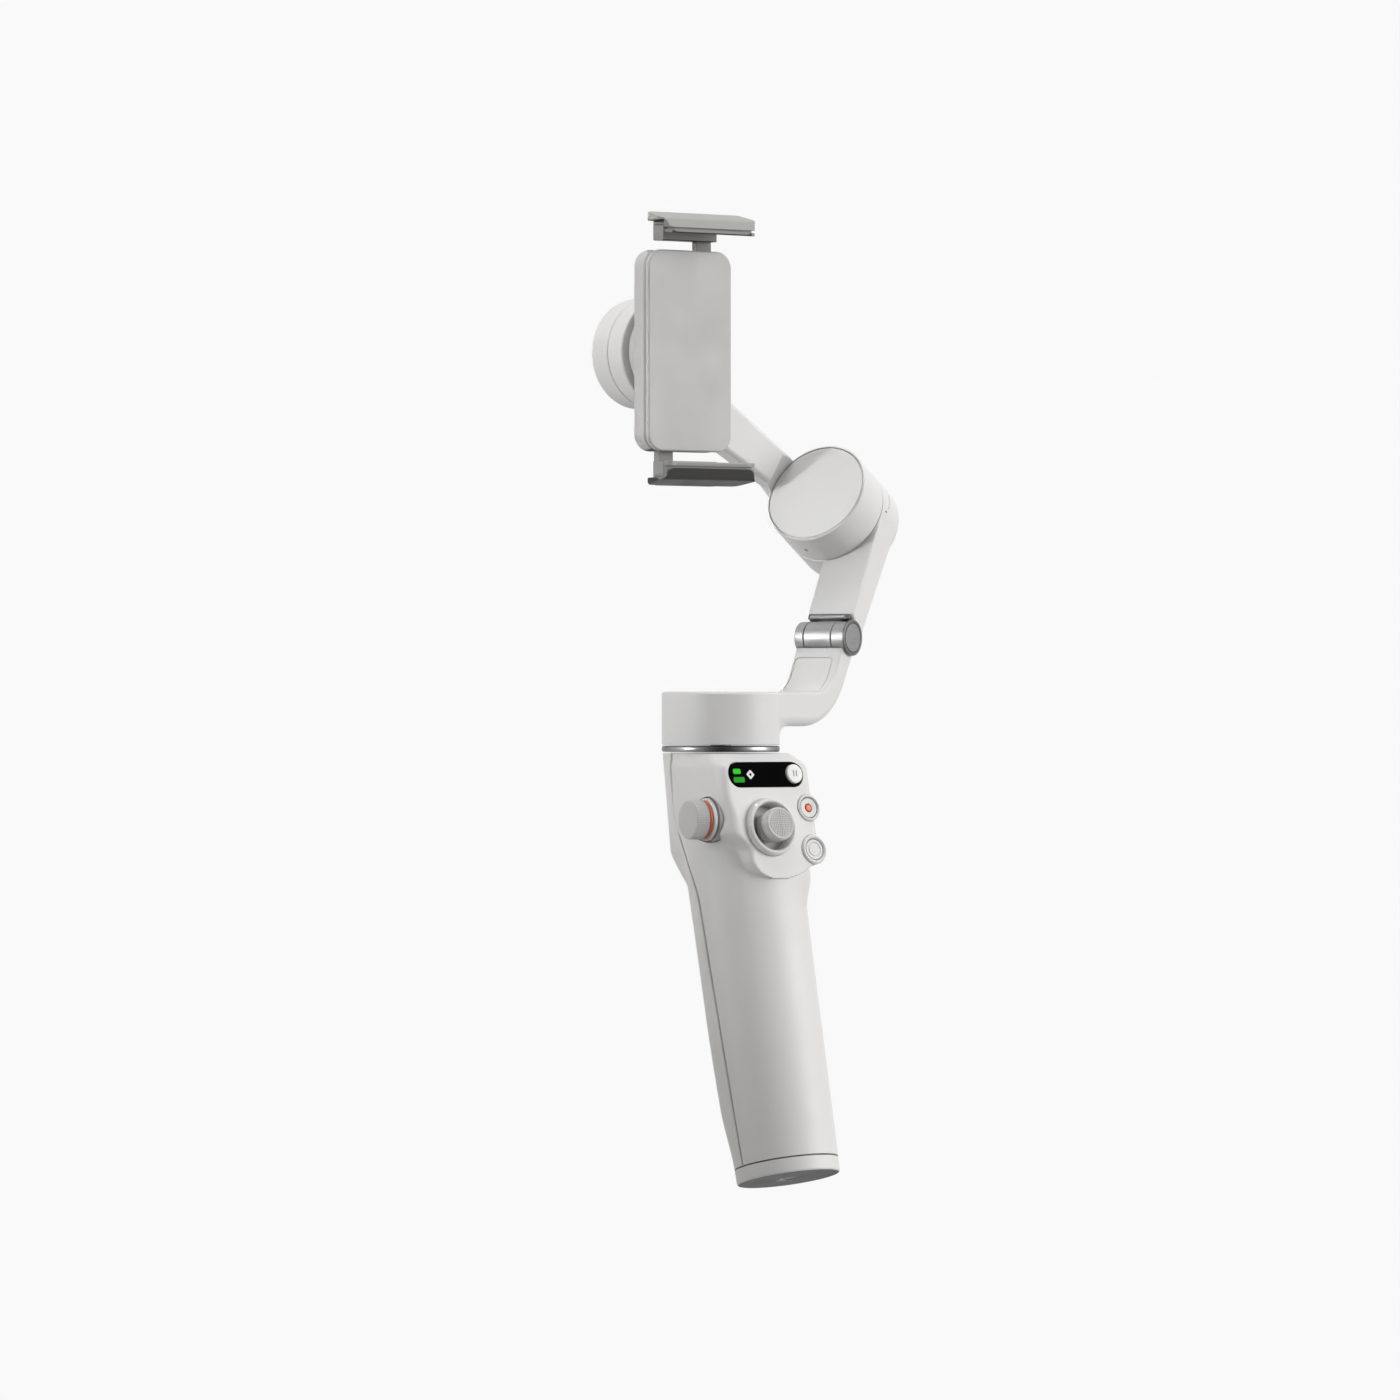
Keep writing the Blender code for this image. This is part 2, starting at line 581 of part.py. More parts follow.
def build_rod():
    rod = rod_frame()
    outer = ROD_RADIUS
    finish(tube("rod_outer", outer, outer - ROD_WALL, ROD_LOW, ROD_HIGH, rod, 24), METAL, 1.0, 0.3)
    outer -= ROD_STEP
    finish(tube("rod_middle", outer, outer - ROD_WALL, ROD_LOW + 3, ROD_HIGH + 1, rod, 24), METAL, 1.0, 0.3)
    outer -= ROD_STEP
    inner = tube("rod_inner", outer, outer - ROD_WALL, ROD_LOW + 6, ROD_HIGH + 20, rod, 24)
    cut(inner, box("cutter", (-20, 0, COLLAR_LOW - GAP), (20, 80, 180)))
    finish(inner, METAL, 1.0, 0.3)


def magnet_ring(name, radius, low, high, placing):
    """The ring of magnets inside a rotor of the given outer radius."""
    outer = radius - ROTOR_WALL - GAP
    return finish(tube(name, outer, outer - MAGNET_THICK, low, high, placing, 20), (0.2, 0.2, 0.21), 1.0, 0.35)


def winding_ring(name, radius, low, high, placing):
    """The windings inside the magnets of a rotor of the given outer radius."""
    outer = radius - ROTOR_WALL - GAP - MAGNET_THICK - AIR_GAP
    return finish(tube(name, outer, STATOR_BORE, low, high, placing, 16), (0.45, 0.22, 0.1), 0.6, 0.4)


def bearing_ring(name, low, high, placing):
    ring = tube(name, STATOR_BORE - GAP, SHAFT_RADIUS + GAP, low, high, placing, 16)
    return finish(ring, METAL, 1.0, 0.25)


def cover_outline(inner, outer, start, run):
    """A strip along the bend's inner side and up the lean, between two depths below the surface."""
    lean = Vector((math.sin(ARM_LEAN), math.cos(ARM_LEAN)))
    stop = -math.degrees(ARM_LEAN)
    near = arc((BEND_U, BEND_Z), BEND_RADIUS + inner, start, stop, 5)
    far = arc((BEND_U, BEND_Z), BEND_RADIUS + outer, start, stop, 5)
    near.append(tuple(Vector(near[-1]) + lean * run))
    far.append(tuple(Vector(far[-1]) + lean * run))
    return near + far[::-1]


def build_pan():
    upright = Matrix.Translation((0, PAN_Y, 0))
    edge = 0.35
    spindle = PAN_TOP - 2.6
    profile = [
        (0, COLLAR_LOW), (PAN_RADIUS - edge, COLLAR_LOW), (PAN_RADIUS, COLLAR_LOW + edge),
        (PAN_RADIUS, COLLAR_TOP - edge), (PAN_RADIUS - edge, COLLAR_TOP),
        (SHAFT_RADIUS, COLLAR_TOP), (SHAFT_RADIUS, spindle), (0, spindle),
    ]
    finish(lathe("pan_collar", profile, upright, 36), (0.6, 0.6, 0.6), 1.0, 0.12)
    winding_ring("pan_stator", PAN_RADIUS, COLLAR_TOP + 1.2, PAN_TOP - 5, upright)
    bearing_ring("pan_bearing", COLLAR_TOP + GAP, PAN_TOP - 6, upright)
    magnet_ring("pan_magnets", PAN_RADIUS, PAN_LOW + 1, PAN_TOP - 4, upright)

    housing = disc("pan_arm", PAN_RADIUS, PAN_LOW, PAN_TOP, upright, 44, 0.6)
    place = arm_frame()
    stop = -math.degrees(ARM_LEAN)
    lean = Vector((math.sin(ARM_LEAN), math.cos(ARM_LEAN)))
    under = arc((UNDER_U, ARM_LOW + UNDER_RADIUS), UNDER_RADIUS, -90, stop, 7)
    over = arc((BEND_U, BEND_Z), BEND_RADIUS, -90, stop, 5)
    top_out = Vector(under[-1]) + lean * 16
    top_in = Vector(over[-1]) + lean * 10
    outline = [(4, ARM_LOW), *under, tuple(top_out), tuple(top_in), *over[::-1], (4, BEND_Z - BEND_RADIUS)]
    lower = prism("lower", outline, -ARM_HALF, ARM_HALF, place)
    soften(lower, 0.8, 2, 50)
    seat = cover_outline(-2.3, COVER_THICK + 0.35, COVER_START - 1.5, COVER_RUN + GAP)
    seat_low, seat_high = COVER_SHIFT - COVER_HALF - GAP, COVER_SHIFT + COVER_HALF + GAP
    cut(lower, prism("seat", seat, seat_low, seat_high, place))
    join(housing, lower)
    hinge = hinge_frame()
    cut(housing, disc("hole", HINGE_RADIUS + GAP, -20, 20, hinge, 24))
    above = [(17, HINGE_Z - 1.5), (HINGE_U, HINGE_Z + 0.4), (70, HINGE_Z - 8.0), (70, 190), (17, 190)]
    cut(housing, prism("hole", above, -20, 20, place))
    cut(housing, disc("hole", PAN_RADIUS - ROTOR_WALL, PAN_LOW - 5, PAN_TOP - 2.0, upright, 28))
    finish(housing, WARM_GREY)
    plate = cover_outline(0.0, COVER_THICK, COVER_START, COVER_RUN)
    cover = prism("arm_cover", plate, COVER_SHIFT - COVER_HALF, COVER_SHIFT + COVER_HALF, place)
    finish(cover, WARM_GREY)

    half = HINGE_LENGTH / 2
    split = half - KNUCKLE_RIGHT
    low = -half + KNUCKLE_LEFT
    bore = HINGE_PIN + 0.2
    edge = 0.4
    radius = HINGE_RADIUS
    left = [(bore, -half), (radius - edge, -half), (radius, -half + edge), (radius, low), (bore, low)]
    finish(lathe("knuckle_left", left, hinge, 24), METAL, 1.0, 0.35)
    outer = max(half, ARM_HALF + GAP + FLANGE_THICK)
    step = outer - FLANGE_THICK
    right = [
        (bore, split), (radius, split), (radius, step), (FLANGE_RADIUS, step),
        (FLANGE_RADIUS, outer - 0.2), (FLANGE_RADIUS - 0.2, outer), (bore, outer),
    ]
    finish(lathe("knuckle_right", right, hinge, 24), METAL, 1.0, 0.35)
    finish(disc("hinge_pin", HINGE_PIN, -half + GAP, half - GAP, hinge, 16), METAL, 1.0, 0.3)


def build_upper():
    place = arm_frame()
    lean = Vector((math.sin(ARM_LEAN), math.cos(ARM_LEAN)))
    inward = Vector((-math.cos(ARM_LEAN), math.sin(ARM_LEAN)))
    start = Vector((UPPER_U, UPPER_Z))
    reach = (Vector((TILT_U, TILT_Z)) - start).dot(lean)

    def at(deep, rise):
        return tuple(start - inward * deep + lean * rise)

    foot = -4.4
    outline = [
        at(0, 0.6), at(0, reach), at(UPPER_TOP_THICK, reach), at(UPPER_THICK, foot), at(UPPER_THICK - 1.6, foot),
    ]
    arm = prism("upper_arm", outline, -ARM_HALF, ARM_HALF, place)
    soften(arm, 0.8, 2, 50)
    tilt = tilt_frame()
    back = -TILT_BACK
    edge = TILT_EDGE
    profile = [
        (0, back), (TILT_RADIUS - edge, back), (TILT_RADIUS - 0.3 * edge, back + 0.3 * edge),
        (TILT_RADIUS, back + edge), (TILT_RADIUS, -TILT_SEAM - GAP), (0, -TILT_SEAM - GAP),
    ]
    join(arm, lathe("cup", profile, tilt, 40))
    cut(arm, disc("hole", TILT_RADIUS - ROTOR_WALL, back + 2.3, 0, tilt, 24))
    hinge = hinge_frame()
    cut(arm, disc("hole", HINGE_RADIUS + GAP, -20, 20, hinge, 24))

    half = HINGE_LENGTH / 2
    low = -half + KNUCKLE_LEFT + GAP
    high = half - KNUCKLE_RIGHT - GAP
    middle = (high + low) / 2
    wide = (high - low) / 2 - 0.5
    slot = [at(4.5, -8), at(4.5, 6.3), at(1.3, 6.3), at(1.3, -8)]
    cut(arm, prism("hole", slot, middle - wide - GAP, middle + wide + GAP, place))
    finish(arm, WARM_GREY)
    barrel = tube("hinge_leaf", HINGE_RADIUS, HINGE_PIN + GAP, low, high, hinge, 24)
    leaf = [at(4.2, -6.4), at(4.2, 6.0), at(1.6, 6.0), at(1.6, -6.4)]
    tongue = prism("tongue", leaf, middle - wide, middle + wide, place)
    cut(tongue, disc("hole", 3.4, -20, 20, hinge, 20))
    join(barrel, tongue)
    finish(barrel, METAL, 1.0, 0.35)
    winding_ring("tilt_stator", TILT_RADIUS, back + 3.6, -6.0, tilt)
    finish(disc("tilt_shaft", SHAFT_RADIUS, back + 2.6, -3.4, tilt, 16), METAL, 1.0, 0.25)


def build_tilt():
    tilt = tilt_frame()
    roll = roll_frame()
    rotor = disc("tilt_arm", TILT_RADIUS, -TILT_SEAM, -GAP, tilt, 40, 0.5)
    motor = tilt.translation
    foot = Vector((motor.x + 4.4, STRUT_Y, motor.z - 2.6))
    knee = Vector((motor.x - 3.6, STRUT_Y, motor.z + 6.6))
    head = Vector((ROLL_X, STRUT_Y - 2.5, ROLL_Z - 1.0))
    path = [foot, knee, head]
    section = ((1, 0.6), (0.8, 1), (-0.8, 1), (-1, 0.6), (-1, -0.6), (-0.8, -1), (0.8, -1), (1, -0.6))
    rings = []
    for k, point in enumerate(path):
        ahead = path[min(k + 1, 2)] - path[max(k - 1, 0)]
        up = Vector((0, 1, 0)).cross(ahead).normalized()
        half = (5.2, 5.6, 8.5)[k]
        rings.append([point + up * half * a + Vector((0, STRUT_THICK * b, 0)) for a, b in section])
    join(rotor, loft("bar", rings))
    seam = ROLL_SEAM + GAP / 2
    rim = ROLL_RADIUS - 3
    profile = [(0, seam), (ROLL_RADIUS, seam), (ROLL_RADIUS, ROLL_BACK - 3), (rim, ROLL_BACK), (0, ROLL_BACK)]
    join(rotor, lathe("housing", profile, roll, 32))
    cut(rotor, disc("hole", TILT_RADIUS - ROTOR_WALL, -TILT_SEAM - 1, -2.4, tilt, 24))
    cut(rotor, disc("hole", TILT_RADIUS - 0.55, -1.0, 5, tilt, 32))
    cut(rotor, disc("hole", ROLL_RADIUS - ROTOR_WALL, ROLL_SEAM - 5, ROLL_BACK - 2.0, roll, 24))
    finish(rotor, WARM_GREY)
    radius = TILT_RADIUS - 0.8
    profile = [(0, -0.7), (radius, -0.7), (radius, -0.2), (radius - 0.3, 0), (0, 0)]
    finish(lathe("tilt_cap", profile, tilt, 32), WARM_GREY)
    magnet_ring("tilt_magnets", TILT_RADIUS, -TILT_SEAM + 0.6, -3.2, tilt)
    winding_ring("roll_stator", ROLL_RADIUS, ROLL_FRONT + 3.1, ROLL_BACK - 2.4, roll)
    bearing_ring("roll_bearing", ROLL_FRONT + 3.7, ROLL_BACK - 2.4, roll)


def build_roll():
    roll = roll_frame()
    back = ROLL_SEAM - GAP / 2
    floor = ROLL_FRONT + 2.5
    spindle = ROLL_BACK - 3.5
    inner = ROLL_RADIUS - ROTOR_WALL
    profile = [
        (0, ROLL_FRONT), (ROLL_RADIUS - 0.6, ROLL_FRONT), (ROLL_RADIUS, ROLL_FRONT + 0.6), (ROLL_RADIUS, back),
        (inner, back), (inner, floor), (SHAFT_RADIUS, floor), (SHAFT_RADIUS, spindle), (0, spindle),
    ]
    rotor = lathe("roll_rotor", profile, roll, 28)
    cut(rotor, disc("hole", MOUNT_RADIUS + GAP, ROLL_FRONT - 2, ROLL_FRONT + MOUNT_DEEP + GAP, roll, 24))
    finish(rotor, WARM_GREY)
    magnet_ring("roll_magnets", ROLL_RADIUS, floor + 0.4, ROLL_SEAM - 0.4, roll)
    magnet = disc("mount_magnet", MOUNT_RADIUS, ROLL_FRONT - 0.2, ROLL_FRONT + MOUNT_DEEP, roll, 24)
    finish(magnet, (0.3, 0.3, 0.31), 1.0, 0.3)


def build_clamp():
    roll = roll_frame()
    left, right = ROLL_X - CLAMP_HALF_WIDE, ROLL_X + CLAMP_HALF_WIDE
    low, high = ROLL_Z - CLAMP_HALF_TALL, ROLL_Z + CLAMP_HALF_TALL
    front = COVER_BACK + GAP
    place = frame((ROLL_X, 0, ROLL_Z), (1, 0, 0), (0, 0, 1))
    outline = rounded(CLAMP_HALF_WIDE, CLAMP_HALF_TALL, CLAMP_CORNER)
    body = prism("clamp_body", outline, -BODY_BACK, -front, place)
    soften(body, 0.6, 1, 50)
    wall = TRAY_WALL
    cut(body, box("hole", (left + wall, front - 5, low + wall), (right - wall, TRAY_BACK, high - wall)))
    neck = JAW_NECK + GAP
    cut(body, box("hole", (ROLL_X - neck, front + 0.2, low - 5), (ROLL_X + neck, TRAY_BACK, high + 5)))
    finish(body, (0.5, 0.5, 0.49))
    cover = prism("clamp_cover", outline, -COVER_BACK, -COVER_FRONT, place)
    soften(cover, 0.5, 1, 50)
    finish(cover, (0.5, 0.5, 0.49))
    near = BODY_BACK + GAP
    edge = 0.6
    radius = PUCK_RADIUS
    profile = [
        (0, near), (radius - edge, near), (radius, near + edge),
        (radius, PUCK_BACK - edge), (radius - edge, PUCK_BACK), (0, PUCK_BACK),
    ]
    finish(lathe("clamp_puck", profile, roll, 28), (0.45, 0.45, 0.45), 0.3, 0.4)
    finish(tube("sync_roller", ROLLER_RADIUS, 1.2, front + 0.5, TRAY_BACK - GAP, roll, 20), DARK)
    for name, up in (("top", 1), ("bottom", -1)):
        build_jaw(name, up)


def build_jaw(name, up):
    """One jaw with its pad; up is 1 for the top jaw and -1 for the bottom one."""
    edge = ROLL_Z + up * OPENING / 2
    tip = PHONE_FRONT_Y - 2.0
    lip = PHONE_FRONT_Y - 0.6
    seat = PAD_THICK + GAP
    heel = COVER_FRONT + 0.1

    def at(y, rise):
        return (y, edge + up * rise)

    section = [
        at(tip + 0.2, -JAW_LIP), at(tip, -JAW_LIP + 0.5), at(tip, 0.6), at(tip + 0.5, 1.2),
        at(36.6, JAW_RISE - 0.1), at(37.6, JAW_RISE), at(JAW_BACK - 1.0, JAW_RISE),
        at(JAW_BACK, JAW_RISE - 1.0), at(JAW_BACK, -4.0), at(heel, -4.0), at(heel, seat), at(lip, seat),
        at(lip, -JAW_LIP + 0.4), at(lip - 0.3, -JAW_LIP),
    ]
    wide = JAW_HALF + 1
    jaw = prism(name + "_jaw", section, -wide, wide, frame((ROLL_X, 0, 0), (0, 1, 0), (0, 0, 1)))
    soften(jaw, 0.3, 1, 60)
    back = tip + JAW_DEEP
    side = JAW_HALF - JAW_CORNER
    plan = [
        *arc((side, back - JAW_CORNER), JAW_CORNER, 0, 90, 5), (JAW_NECK, back), (JAW_NECK, JAW_BACK + 1),
        (-JAW_NECK, JAW_BACK + 1), (-JAW_NECK, back), *arc((-side, back - JAW_CORNER), JAW_CORNER, 90, 180, 5),
        *arc((-side, tip + JAW_CORNER), JAW_CORNER, 180, 270, 5),
        *arc((side, tip + JAW_CORNER), JAW_CORNER, 270, 360, 5),
    ]
    combine(jaw, [prism("plan", plan, edge - 20, edge + 20, Matrix.Translation((ROLL_X, 0, 0)))], "INTERSECT")
    inner = ROLL_X + up * (ROLLER_RADIUS + 0.25)
    outer = ROLL_X + up * STEM_OUT
    ends = sorted((edge - up * 3.0, ROLL_Z - up * 5.0))
    stem = box("stem", (min(inner, outer), STEM_FRONT, ends[0]), (max(inner, outer), STEM_BACK, ends[1]))
    join(jaw, stem)
    finish(jaw, (0.38, 0.38, 0.385), 0.7, 0.4)
    pad_low = min(edge, edge + up * PAD_THICK)
    near = (ROLL_X - PAD_HALF, lip + 0.4, pad_low)
    far = (ROLL_X + PAD_HALF, heel - GAP, pad_low + PAD_THICK)
    finish(box(name + "_pad", near, far, 2.0), (0.25, 0.25, 0.25), 0.0, 0.7)


def assemble():
    """Hangs each moving group on an empty at its joint, and puts its pieces' origins there."""
    lean = Vector((0, math.sin(LEAN), math.cos(LEAN)))
    collar = Vector((0, PAN_Y, COLLAR_LOW))
    stick = panel_frame(STICK_X, STICK_Z) @ Vector((0, 0, STICK_PIVOT))
    record = panel_frame(RECORD_X, RECORD_Z).translation
    mode = panel_frame(MODE_X, MODE_Z).translation
    switch = panel_frame(SWITCH_X, WINDOW_Z).translation
    wheel = Vector(WHEEL_BASE)
    trigger = Vector((0, TRIGGER_PIVOT_Y, TRIGGER_PIVOT_Z))
    fold = hinge_frame().translation
    tilt = tilt_frame().translation
    roll = Vector((ROLL_X, ROLL_SEAM, ROLL_Z))
    clamp = Vector((ROLL_X, ROLL_FRONT, ROLL_Z))
    roller = Vector((ROLL_X, PHONE_BACK_Y, ROLL_Z))
    opening = Vector((0, 0, OPENING / 2))
    groups = (
        ("handle_joint", None, Vector((0, 0, 0)), HANDLE_PIECES),
        ("joystick_x_joint", "handle_joint", stick, ("joystick_yoke",)),
        ("joystick_y_joint", "joystick_x_joint", stick, ("joystick_stem", "joystick_cap")),
        ("record_joint", "handle_joint", record, ("record_button", "record_dot")),
        ("mode_joint", "handle_joint", mode, ("mode_button",)),
        ("switch_joint", "handle_joint", switch, ("switch_button",)),
        ("wheel_press_joint", "handle_joint", wheel, ("wheel_shaft",)),
        ("wheel_spin_joint", "wheel_press_joint", wheel, ("wheel_flange", "wheel_ring", "wheel_knob")),
        ("trigger_joint", "handle_joint", trigger, ("trigger",)),
        ("rod_1_joint", "handle_joint", collar - lean * 3, ("rod_outer",)),
        ("rod_2_joint", "rod_1_joint", collar - lean * 2, ("rod_middle",)),
        ("rod_3_joint", "rod_2_joint", collar, ("rod_inner", "pan_collar", "pan_stator", "pan_bearing")),
        ("pan_joint", "rod_3_joint", Vector((0, PAN_Y, PAN_LOW)), PAN_PIECES),
        ("fold_joint", "pan_joint", fold, ("upper_arm", "hinge_leaf", "tilt_stator", "tilt_shaft")),
        ("tilt_joint", "fold_joint", tilt, TILT_PIECES),
        ("roll_joint", "tilt_joint", roll, ("roll_rotor", "roll_magnets", "mount_magnet")),
        ("clamp_joint", "roll_joint", clamp, ("clamp_body", "clamp_cover", "clamp_puck")),
        ("roller_joint", "clamp_joint", roller, ("sync_roller",)),
        ("top_jaw_joint", "clamp_joint", roller + opening, ("top_jaw", "top_pad")),
        ("bottom_jaw_joint", "clamp_joint", roller - opening, ("bottom_jaw", "bottom_pad")),
    )
    places = {}
    for name, parent, place, pieces in groups:
        empty = bpy.data.objects.new(name, None)
        empty.empty_display_size = 5 * MM
        bpy.context.scene.collection.objects.link(empty)
        places[name] = (empty, place)
        origin = Vector((0, 0, 0))
        if parent:
            empty.parent, origin = places[parent]
        empty.location = (place - origin) * MM
        for piece in pieces:
            thing = bpy.data.objects[piece]
            thing.data.transform(Matrix.Translation(-place * MM))
            thing.parent = empty


clear_scene()
build_handle()
build_controls()
build_rod()
build_pan()
build_upper()
build_tilt()
build_roll()
build_clamp()
assemble()
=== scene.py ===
from math import cos, degrees, exp, hypot, pi, radians, remainder, sin, sqrt, tan

import bmesh
import bpy
from mathutils import Matrix, Vector


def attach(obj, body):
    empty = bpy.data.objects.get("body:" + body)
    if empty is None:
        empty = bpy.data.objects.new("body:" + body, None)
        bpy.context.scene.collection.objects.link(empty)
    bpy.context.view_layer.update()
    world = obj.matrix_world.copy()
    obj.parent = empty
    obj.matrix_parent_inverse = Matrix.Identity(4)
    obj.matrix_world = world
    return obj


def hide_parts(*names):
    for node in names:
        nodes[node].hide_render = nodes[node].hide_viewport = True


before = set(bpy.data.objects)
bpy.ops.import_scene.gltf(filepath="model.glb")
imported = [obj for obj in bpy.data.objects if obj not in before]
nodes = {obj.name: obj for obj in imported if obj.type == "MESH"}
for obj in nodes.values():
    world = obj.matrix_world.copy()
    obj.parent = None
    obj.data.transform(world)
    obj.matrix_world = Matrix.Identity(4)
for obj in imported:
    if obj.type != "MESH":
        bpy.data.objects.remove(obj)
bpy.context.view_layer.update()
mm = 0.001
print("frame loaded:", len(nodes), "pieces")

shot = {
    "focal": 7290.0,        # pixels of a 1400 pixel frame
    "frame": 1400.0,
    "sensor": 36.0,
    "azimuth": -37.0,
    "distance": 2.1,
    "aim": (0.0, 0.032, 0.1363),
    "shiftLeft": 0.00597,
    "clipEnd": 60.0,
}
shotTurn = radians(shot["azimuth"])
toCamera = Vector((sin(shotTurn), -cos(shotTurn), 0))
cameraRight = Vector((cos(shotTurn), sin(shotTurn), 0))


def addObject(name, data):
    made = bpy.data.objects.new(name, data)
    bpy.context.scene.collection.objects.link(made)
    return made


def addNode(tree, kind, inputs=None, **settings):       # an input takes a value or another node's output
    made = tree.nodes.new("ShaderNode" + kind)
    for name, value in settings.items():
        setattr(made, name, value)
    for label, value in (inputs or {}).items():
        if isinstance(value, bpy.types.NodeSocket):
            tree.links.new(value, made.inputs[label])
        else:
            made.inputs[label].default_value = value
    return made.outputs


def setCamera():
    data = bpy.data.cameras.new("photoCamera")
    data.sensor_width = shot["sensor"]
    data.lens = shot["focal"] / shot["frame"] * shot["sensor"]
    data.clip_end = shot["clipEnd"]
    camera = addObject("photoCamera", data)
    camera.location = Vector(shot["aim"]) + toCamera * shot["distance"] - cameraRight * shot["shiftLeft"]
    camera.rotation_euler = toCamera.to_track_quat("Z", "Y").to_euler()
    bpy.context.scene.camera = camera


# each lamp stands so far right, towards the lens and up from the middle, in metres
lamps = {
    "keyRight": {"at": (1.95, 0.35, 0.45), "size": 1.3, "power": 30.0},
    "edgeLeft": {"at": (-1.9, 0.45, 0.7), "size": 0.9, "power": 5.4},
    "upperLeft": {"at": (-1.2, 0.55, 0.2), "size": 0.22, "power": 0.075, "spread": 12.0, "aim": 0.065},
    "topSheet": {"at": (0.0, 0.1, 2.0), "size": 1.3, "power": 20.0},
}
lampMiddle = Vector((0, 0.035, 0.14))
backdrop = {
    "seen": (0.948, 0.948, 0.948, 1),
    "ambient": 0.30,
    "floorTone": (0.45, 0.45, 0.45, 1),
    "floorDrop": -0.6,
    "floorReach": 20.0,
}


def setLight():
    for name, lamp in lamps.items():
        data = bpy.data.lights.new(name, "AREA")
        data.shape = "SQUARE"
        data.size = lamp["size"]
        data.energy = lamp["power"]
        data.spread = radians(lamp.get("spread", 180.0))       # a narrow one keeps to the arms
        target = lampMiddle + Vector((0, 0, lamp.get("aim", 0.0)))
        made = addObject(name, data)
        right, forward, up = lamp["at"]
        made.location = lampMiddle + cameraRight * right + toCamera * forward + Vector((0, 0, up))
        made.rotation_euler = (made.location - target).to_track_quat("Z", "Y").to_euler()
    world = bpy.data.worlds.new("studioWorld")
    bpy.context.scene.world = world
    world.use_nodes = True
    world.node_tree.nodes.clear()
    plain = {"Color": (1, 1, 1, 1), "Strength": backdrop["ambient"]}
    lit = addNode(world.node_tree, "Background", plain)[0]
    showBackdrop(world.node_tree, "OutputWorld", "Background", lit)
    bpy.context.scene.view_settings.view_transform = "Standard"


def showBackdrop(tree, outKind, seenKind, lit):     # pale to the lens and in mirrors, plain light otherwise
    seen = addNode(tree, seenKind, {"Color": backdrop["seen"], "Strength": 1.0})[0]
    path = addNode(tree, "LightPath")
    share = path["Is Camera Ray"]
    for ray in ("Is Transmission Ray", "Is Glossy Ray"):
        share = addNode(tree, "Math", {0: share, 1: path[ray]}, operation="MAXIMUM")[0]
    addNode(tree, outKind, {"Surface": addNode(tree, "MixShader", {0: share, 1: lit, 2: seen})[0]})


def setFloor():
    mesh = bpy.data.meshes.new("floor")
    reach, low = backdrop["floorReach"], backdrop["floorDrop"]
    corners = [(-reach, -reach, low), (reach, -reach, low), (reach, reach, low), (-reach, reach, low)]
    mesh.from_pydata(corners, [], [(0, 1, 2, 3)])
    floor = addObject("floor", mesh)
    pale = bpy.data.materials.new("paleFloor")
    pale.use_nodes = True
    pale.node_tree.nodes.clear()
    lit = addNode(pale.node_tree, "BsdfDiffuse", {"Color": backdrop["floorTone"]})[0]
    showBackdrop(pale.node_tree, "OutputMaterial", "Emission", lit)
    mesh.materials.append(pale)


setCamera()
setLight()
setFloor()
print("camera, light and floor set")

effectInputs = ("Scale", "Dark", "Light", "Sheen Low", "Sheen High")
effectOutputs = ("Tone", "Sheen", "Height")
noiseMiddle = (0.3, 0.7)        # nearly all of a noise lies between these
drawStretch = (0.05, 0.05, 1.0)
paintedBands = {
    "axis": (0.0, 0.032, 0.0),          # the pan axis, in metres
    "turns": (8 * pi, 0.9),        # four painted highlights around the ring, and their start
}
underside = (-0.3, 0.1)         # the normal's z where the painted shade is full and where it ends


def newEffect(name):
    group = bpy.data.node_groups.new(name, "ShaderNodeTree")
    for way, labels in (("INPUT", effectInputs), ("OUTPUT", effectOutputs)):
        for label in labels:
            group.interface.new_socket(label, in_out=way, socket_type="NodeSocketFloat")
    return group, group.nodes.new("NodeGroupInput").outputs, addNode(group, "TexCoord")["Object"]


def noiseIn(group, place, scale, detail):
    return addNode(group, "TexNoise", {"Vector": place, "Scale": scale, "Detail": detail})["Fac"]


def spread(group, value, low, high, span=noiseMiddle):      # maps the span to low..high
    ends = {"From Min": span[0], "From Max": span[1], "To Min": low, "To Max": high}
    return addNode(group, "MapRange", {"Value": value, **ends})["Result"]


def endEffect(group, into, tone, cloud, height, span=noiseMiddle):
    out = group.nodes.new("NodeGroupOutput").inputs
    tone = spread(group, tone, into["Dark"], into["Light"], span)
    sheen = spread(group, cloud, into["Sheen Low"], into["Sheen High"])
    for label, value in zip(effectOutputs, (tone, sheen, height)):
        group.links.new(value, out[label])
    return group


def makeMouldGrain():       # spark-eroded plastic: fine pits, slow drift of tone, handled patches
    group, into, place = newEffect("mouldGrain")
    pits = noiseIn(group, place, into["Scale"], 3.0)
    drift = noiseIn(group, place, 38.0, 2.0)
    return endEffect(group, into, drift, noiseIn(group, place, 120.0, 4.0), pits)


def makeDrawLines():        # metal drawn or turned along one direction
    group, into, place = newEffect("drawLines")
    stretched = addNode(group, "VectorMath", {0: place, 1: drawStretch}, operation="MULTIPLY")[0]
    lines = noiseIn(group, stretched, into["Scale"], 2.0)
    return endEffect(group, into, lines, noiseIn(group, place, 160.0, 3.0), lines)


def makePaintedRingReflection():        # a polished band whose tone is a painted reflection: bright and dark bands around its axis
    group, into, place = newEffect("paintedRingReflection")
    shifted = addNode(group, "VectorMath", {0: place, 1: paintedBands["axis"]}, operation="SUBTRACT")[0]
    around = addNode(group, "TexGradient", {0: shifted}, gradient_type="RADIAL")["Fac"]
    count, start = paintedBands["turns"]
    turns = addNode(group, "Math", {0: around, 1: count, 2: start}, operation="MULTIPLY_ADD")[0]
    wave = addNode(group, "Math", {0: turns}, operation="SINE")[0]
    cloud = noiseIn(group, place, into["Scale"], 3.0)
    return endEffect(group, into, wave, cloud, cloud, (-1.0, 1.0))


